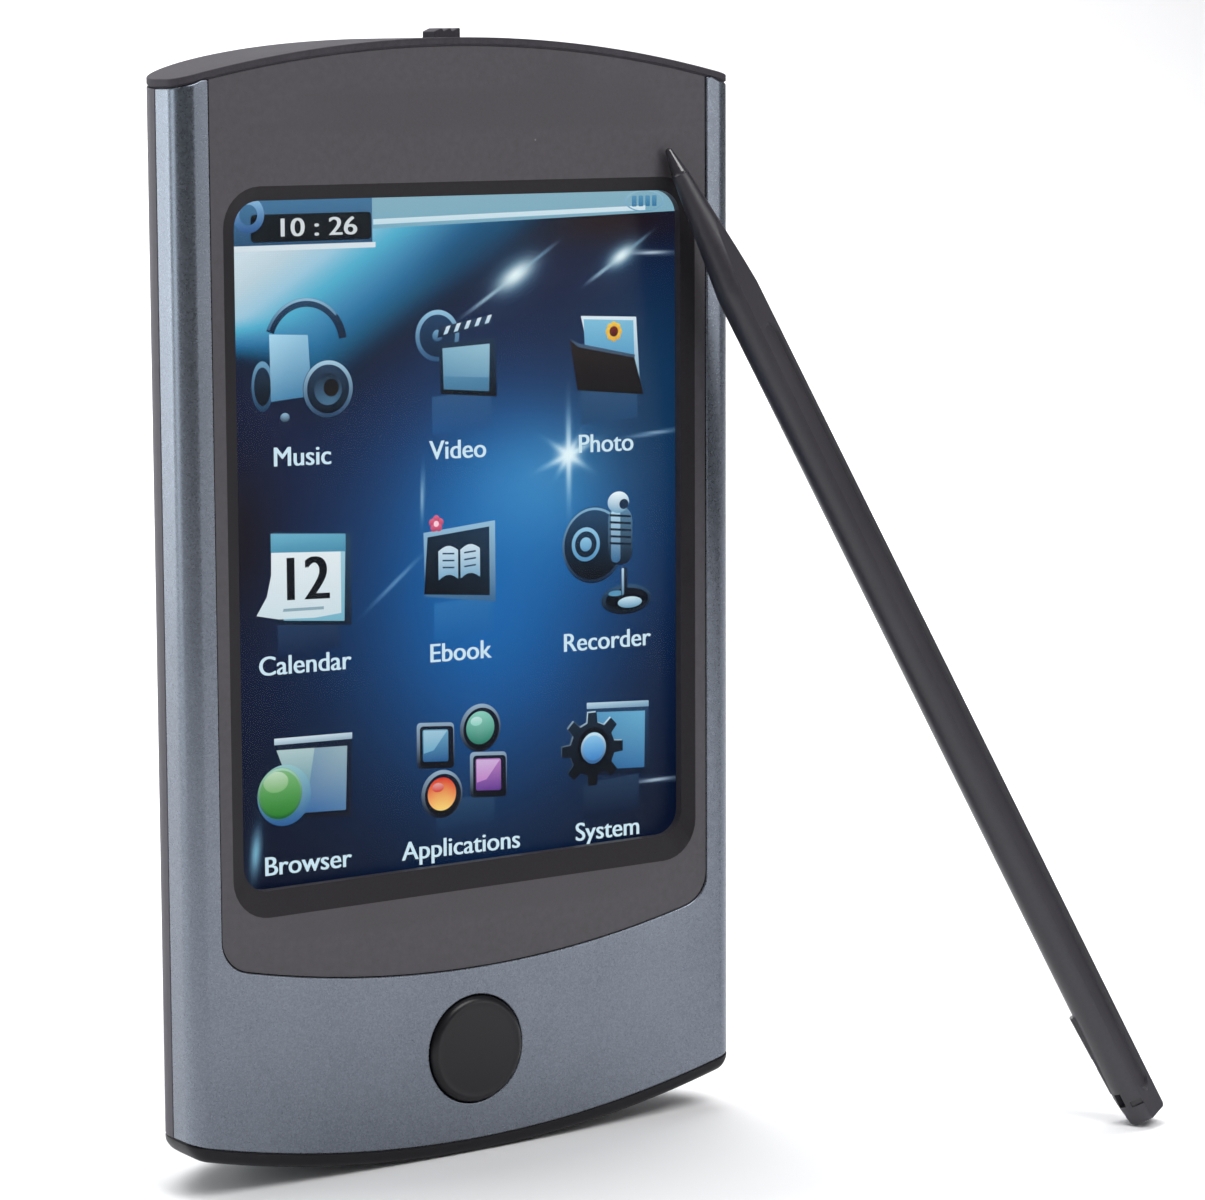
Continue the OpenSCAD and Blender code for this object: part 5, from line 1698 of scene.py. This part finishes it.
# ---------------------------------------------------------------- stylus


class StylusAxis:
    """The stylus's own frame: tail at zero, tip at full length, x towards the case."""

    def __init__(self):
        self.radius = sizes().stylus_diameter / 2
        lean, heading = math.radians(26.3), math.radians(142)
        self.turn = Matrix.Rotation(heading, 3, "Z") @ Matrix.Rotation(lean, 3, "Y")
        low, high = cad("stylus_tip")
        self.foot = Vector((53.94 * MM, -33.4 * MM, (self.radius - 0.5 * MM) * math.sin(lean)))
        self.length = (Vector((low.x, high.y, high.z)) - self.foot).dot(self.turn @ Vector((0, 0, 1)))

    def place(self, x, y, z):
        return self.foot + self.turn @ Vector((x, y, z))


def barrel_ring(r, z, flat, groove_w, groove_d):
    """Section of the barrel at a height: round, with a flat and its groove, and the catch by the tail.
    Every ring has the same number of points."""
    turn = math.radians(150)
    half = math.acos(min(flat / r, 0.9985))
    start, end = turn + half, turn + 2 * math.pi - half
    points = []
    count = 96
    rail = 0.0
    if 3.2 * MM < z < 10.95 * MM:
        rail = (0.06 + 0.29 * (z / MM - 3.2) / 7.7) * MM
    for i in range(count + 1):
        a = start + (end - start) * i / count
        x, y = r * math.cos(a), r * math.sin(a)
        on_rail = abs(y) < 0.6 * MM and x > 0
        if on_rail and rail:
            x += rail
            if 5.68 * MM < z < 6.72 * MM and abs(y) < 0.42 * MM:
                x = r - 0.35 * MM
        if z < 2.6 * MM:
            x = min(x, r - 0.5 * MM * (1 - z / (2.6 * MM)))
        if 1.88 * MM < z < 3.12 * MM and abs(abs(math.degrees(math.atan2(y, x))) - 40) < 11 and x > 0:
            x, y = x * 0.55, y * 0.55
        if 1.68 * MM < z < 2.17 * MM and -1.95 * MM < x < 0.65 * MM and y > 0:
            y = min(y, r - 0.26 * MM)
        points.append((x, y))
    ux, uy = math.cos(turn), math.sin(turn)
    tx, ty = -uy, ux
    chord = r * math.sin(half)
    depth = min(flat, r * math.cos(half))
    wall = 0.06 * MM
    gw = min(groove_w / 2, chord * 0.8)
    across = [(-chord * 0.97, 0), (-gw - wall, 0), (-gw, groove_d * 0.5), (-gw + wall, groove_d),
              (-gw * 0.4, groove_d),
              (0, groove_d), (gw * 0.4, groove_d), (gw - wall, groove_d), (gw, groove_d * 0.5), (gw + wall,
                      0),
              (chord * 0.97, 0)]
    for t, d in across:
        points.append((ux * (depth - d) + tx * t, uy * (depth - d) + ty * t))
    return points


def stylus_pieces():
    """Stylus: a moulded barrel with a flat, a long groove and a catch at its tail, and a gloss nib."""
    s = sizes()
    axis = StylusAxis()
    r, total = axis.radius, axis.length
    top = total - s.stylus_nib
    shoulder = top - s.stylus_taper
    flat = r - 0.65 * MM
    nib_r = s.stylus_nib_diameter / 2
    marks = [0.0, 0.06, 0.15, 0.3, 0.9, 1.6, 1.66, 1.7, 1.74, 1.86, 1.9, 2.1, 2.15, 2.2, 2.6, 3.08, 3.14,
             3.22, 3.4,
             3.7, 4.0, 4.4, 5.0, 5.66, 5.7, 6.7, 6.74, 7.6, 8.5, 9.5, 10.3, 10.7, 10.92, 10.98, 11.2]
    stations = [m * MM for m in marks] + spaced(11.6 * MM, shoulder - 6 * MM, 1.5 * MM)
    stations += spaced(shoulder - 5.7 * MM, shoulder, 0.3 * MM) + spaced(shoulder, top, 0.35 * MM)[1:]
    start, end, half_w = 3.4 * MM, shoulder - 4.6 * MM, 0.95 * MM
    bm = bmesh.new()
    rows = []
    for z in stations:
        radius = r + (nib_r - r) * max(0.0, (z - shoulder) / (top - shoulder))
        radius -= 0.22 * MM * max(0.0, 1 - z / (0.3 * MM)) ** 2
        over = max(start - z, z - end, 0.0)
        width = math.sqrt(max(half_w ** 2 - over ** 2, 0))
        depth = 0.3 * MM * smooth(0, 0.12 * MM, width)
        section = barrel_ring(radius, z, flat, max(width * 2, 0.16 * MM), depth)
        rows.append([bm.verts.new(axis.place(x, y, z)) for x, y in section])
    count = len(rows[0])
    for low, high in zip(rows, rows[1:]):
        for i in range(count):
            j = (i + 1) % count
            bm.faces.new((low[i], low[j], high[j], high[i]))
    for row in (rows[0], rows[-1]):
        middle = bm.verts.new(sum((v.co for v in row), Vector()) / count)
        for i in range(count):
            bm.faces.new((row[i], row[(i + 1) % count], middle))
    barrel = to_object(bm, "stylus_body", weld=1e-7)
    sharpen(barrel, 32)
    soften(barrel, 0)
    dress(barrel, "stylus", finish("stylus_plastic"), ["stylus_barrel"])

    point_r = 0.34 * MM
    nib = [(0.5 * MM, top - 2.5 * MM), (0.5 * MM, top - 0.05 * MM), (nib_r - 0.05 * MM, top - 0.02 * MM),
           (nib_r, top + 0.06 * MM)]
    nib += [(nib_r + (point_r - nib_r) * t, top + (s.stylus_nib - point_r - 0.06 * MM) * t + 0.06 * MM)
            for t in spaced(0, 1, 0.1)[1:-1]]
    nib += [(point_r * math.cos(math.radians(a)), total - point_r + point_r * math.sin(math.radians(a)))
            for a in range(10, 91, 10)]
    nib[-1] = (0.0, nib[-1][1])
    bm = bmesh.new()
    lathe(bm, [(0.0, top - 2.5 * MM), *nib], axis.place, 48, closed=False)
    tip = soften(to_object(bm, "stylus_nib"), 0.0)
    dress(tip, "stylus", finish("nib_plastic"), ["stylus_tip"])


def sharpen(piece, angle):
    """Marks a mesh's edges sharp where its faces meet at more than an angle."""
    bm = bmesh.new()
    bm.from_mesh(piece.data)
    limit = math.radians(angle)
    for edge in bm.edges:
        if len(edge.link_faces) == 2 and edge.calc_face_angle(0.0) > limit:
            edge.smooth = False
    bm.to_mesh(piece.data)
    bm.free()


# ---------------------------------------------------------------- pieces kept from the frame


KEPT = {
    "window_gasket": "foam", "touch_panel": "touch_film", "touch_flex": "ribbon_film",
    "display_glass": "display_cell", "display_backlight": "light_guide", "display_tray": "plated_steel",
    "display_flex": "ribbon_film", "chassis": "black_moulding", "main_board": "solder_mask",
    "processor_chip": "chip_moulding", "memory_chip": "chip_moulding", "storage_chip": "chip_moulding",
    "power_chip": "chip_moulding", "audio_chip": "chip_moulding", "clock_crystal": "plated_steel",
    "board_passives": "ceramic", "battery": "battery_pouch", "battery_pad": "foam",
    "battery_plug": "cream_nylon", "battery_lead": "wire_jacket", "speaker": "black_moulding",
    "speaker_mesh": "foam", "microphone": "plated_steel", "headphone_jack": "black_moulding",
    "usb_socket": "plated_steel", "card_socket": "plated_steel", "hold_switch_base": "plated_steel",
    "button_switch": "plated_steel",
    "button_board": "solder_mask",
}


def finish_kept_nodes():
    for node, name in KEPT.items():
        piece = frame["nodes"][node]
        piece.data.materials.clear()
        piece.data.materials.append(finish(name))


# ---------------------------------------------------------------- stage


def area_light(name, place, aim, size, power, tint=(1, 1, 1), size_y=None):
    light = bpy.data.lights.new(name, "AREA")
    light.shape = "RECTANGLE"
    light.size = size
    light.size_y = size_y or size
    light.energy = power
    light.color = tint
    lamp = bpy.data.objects.new(name, light)
    lamp.location = place
    lamp.rotation_euler = (Vector(aim) - Vector(place)).to_track_quat("-Z", "Y").to_euler()
    bpy.context.scene.collection.objects.link(lamp)
    return lamp


def floor_piece():
    """A pale sweep: floor in front, rising behind in one smooth curve."""
    wipe("pale_sweep")
    half, front, bend_y, bend, tall = 2.4, -0.28, 0.75, 0.7, 2.0
    section = [(y, 0.0) for y in spaced(front, bend_y, 0.3)]
    section += arc(bend_y, bend, bend, bend, -90, 0, 32)[1:]
    section += [(bend_y + bend, z) for z in spaced(bend, tall, 0.3)[1:]]
    bm = bmesh.new()
    rows = [[bm.verts.new((x, y, z - 0.00002)) for y, z in section] for x in (-half, half)]
    for i in range(len(section) - 1):
        bm.faces.new((rows[0][i], rows[1][i], rows[1][i + 1], rows[0][i + 1]))
    piece = to_object(bm, "pale_sweep", recalc=False)
    f = Finish("pale_paper")
    cloud = noise(f.tree, f.coords, 3.0, 2.0)
    tone = colours().floor
    f.link(blend_colours(f.tree, cloud, scaled(tone, 0.985), scaled(tone, 1.0)), "Base Color")
    f.set(Roughness=0.9, Specular_IOR_Level=0.1)
    piece.data.materials.append(f.material)


def camera_piece():
    """Camera at the height of the case, to its left and in front of it."""
    aim = Vector((18.2868, 0.0, 51.7904)) * MM
    heading, pitch, roll = math.radians(34.6817), math.radians(6.8651), math.radians(-0.2581)
    distance = 352.34 * MM
    ahead = Vector((math.sin(heading) * math.cos(pitch), math.cos(heading) * math.cos(pitch),
                    -math.sin(pitch)))
    right = Vector((math.cos(heading), -math.sin(heading), 0.0))
    up = right.cross(ahead)
    right_r = right * math.cos(roll) + up * math.sin(roll)
    up_r = up * math.cos(roll) - right * math.sin(roll)
    wipe("studio_camera")
    lens = bpy.data.cameras.new("studio_camera")
    lens.lens = 117.48
    lens.sensor_width = 36.0
    lens.shift_y = -0.05
    lens.clip_start = 0.01
    camera = bpy.data.objects.new("studio_camera", lens)
    turn = Matrix((right_r, up_r, -ahead)).transposed()
    camera.matrix_world = Matrix.Translation(aim - ahead * distance) @ turn.to_4x4()
    bpy.context.scene.collection.objects.link(camera)
    bpy.context.scene.camera = camera


def studio():
    """Floor, camera, soft boxes and the room's even light."""
    floor_piece()
    camera_piece()
    middle = (0.01, 0.0, 0.05)
    area_light("key_box", (0.06, -0.30, 0.46), (0.0, 0.0, 0.085), 0.3, 2.0)
    area_light("fill_box", (0.57, -0.80, 0.26), middle, 0.36, 1.15, size_y=0.62)
    area_light("low_box", (0.60, -0.88, 0.07), middle, 0.24, 0.30)
    area_light("side_strip", (-0.33, 0.43, 0.06), (-0.03, 0.0, 0.05), 0.10, 0.7, (0.90, 0.98, 1.0), 0.5)
    area_light("left_strip", (-0.52, 0.12, 0.08), (-0.03, 0.0, 0.05), 0.22, 0.9, (0.90, 0.98, 1.0), 0.5)
    area_light("floor_box", (0.1, 0.65, 1.2), (0.1, 0.75, 0.0), 1.2, 14.0)
    area_light("wall_box", (0.0, 0.35, 1.1), (0.0, 1.45, 0.35), 1.8, 22.0, size_y=0.8)
    world = bpy.data.worlds.new("even_room")
    world.use_nodes = True
    tree = world.node_tree
    path = tree.nodes.new("ShaderNodeLightPath")
    tree.nodes["Background"].inputs["Color"].default_value = (0.98, 0.99, 1.0, 1)
    tree.links.new(maths(tree, "ADD", maths(tree, "MULTIPLY", path.outputs["Is Camera Ray"], 0.9), 0.12),
                   tree.nodes["Background"].inputs["Strength"])
    bpy.context.scene.world = world
    bpy.context.scene.view_settings.view_transform = "Standard"


# ---------------------------------------------------------------- operators and panel


class ORGANISER_OT_frame(bpy.types.Operator):
    """Builds the lacquered metal frame"""

    bl_idname = "organiser.frame"
    bl_label = "Metal frame"

    def execute(self, context):
        frame_piece()
        return {"FINISHED"}


class ORGANISER_OT_panel(bpy.types.Operator):
    """Builds the dark front panel with its bevelled window"""

    bl_idname = "organiser.front_panel"
    bl_label = "Front panel"

    def execute(self, context):
        panel_piece()
        return {"FINISHED"}


class ORGANISER_OT_caps(bpy.types.Operator):
    """Builds the arched top cap and base cap"""

    bl_idname = "organiser.caps"
    bl_label = "Caps"

    def execute(self, context):
        top_cap_piece()
        base_cap_piece()
        return {"FINISHED"}


class ORGANISER_OT_rear_cover(bpy.types.Operator):
    """Builds the curved rear cover and its screw cups"""

    bl_idname = "organiser.rear_cover"
    bl_label = "Rear cover"

    def execute(self, context):
        rear_cover_piece()
        return {"FINISHED"}


class ORGANISER_OT_screws(bpy.types.Operator):
    """Places the case screws and the board screws"""

    bl_idname = "organiser.screws"
    bl_label = "Screws"

    def execute(self, context):
        screw_pieces()
        return {"FINISHED"}


class ORGANISER_OT_controls(bpy.types.Operator):
    """Builds the home button and the hold switch knob"""

    bl_idname = "organiser.controls"
    bl_label = "Controls"

    def execute(self, context):
        button_piece()
        knob_piece()
        return {"FINISHED"}


class ORGANISER_OT_picture(bpy.types.Operator):
    """Builds the lit picture and its icons"""

    bl_idname = "organiser.picture"
    bl_label = "Lit picture"

    def execute(self, context):
        picture_piece()
        icon_piece()
        return {"FINISHED"}


class ORGANISER_OT_stylus(bpy.types.Operator):
    """Builds the stylus barrel and its nib"""

    bl_idname = "organiser.stylus"
    bl_label = "Stylus"

    def execute(self, context):
        stylus_pieces()
        return {"FINISHED"}


class ORGANISER_OT_inner_parts(bpy.types.Operator):
    """Gives the display, boards, battery and sockets their finishes"""

    bl_idname = "organiser.inner_parts"
    bl_label = "Inner parts"

    def execute(self, context):
        finish_kept_nodes()
        return {"FINISHED"}


class ORGANISER_OT_stage(bpy.types.Operator):
    """Builds the floor, the lights and the camera"""

    bl_idname = "organiser.stage"
    bl_label = "Stage"

    def execute(self, context):
        studio()
        return {"FINISHED"}


STEPS = (
    ORGANISER_OT_stage, ORGANISER_OT_frame, ORGANISER_OT_panel, ORGANISER_OT_caps, ORGANISER_OT_rear_cover,
    ORGANISER_OT_screws, ORGANISER_OT_controls, ORGANISER_OT_picture, ORGANISER_OT_stylus,
    ORGANISER_OT_inner_parts,
)


class ORGANISER_PT_pieces(bpy.types.Panel):
    """Lists the organiser's steps"""

    bl_label = "Pocket organiser"
    bl_idname = "ORGANISER_PT_pieces"
    bl_space_type = "VIEW_3D"
    bl_region_type = "UI"
    bl_category = "Organiser"

    def draw(self, context):
        for item in STEPS:
            self.layout.operator(item.bl_idname)


CLASSES = (OrganiserSizes, OrganiserColours, *STEPS, ORGANISER_PT_pieces)


def register():
    for item in CLASSES:
        bpy.utils.register_class(item)
    bpy.types.Scene.organiser_sizes = bpy.props.PointerProperty(type=OrganiserSizes)
    bpy.types.Scene.organiser_colours = bpy.props.PointerProperty(type=OrganiserColours)


def unregister():
    del bpy.types.Scene.organiser_colours
    del bpy.types.Scene.organiser_sizes
    for item in reversed(CLASSES):
        bpy.utils.unregister_class(item)


def main():
    """Builds every piece in order."""
    register()
    for item in STEPS:
        group_name, step_name = item.bl_idname.split(".")
        getattr(getattr(bpy.ops, group_name), step_name)()


if __name__ == "__main__":
    main()
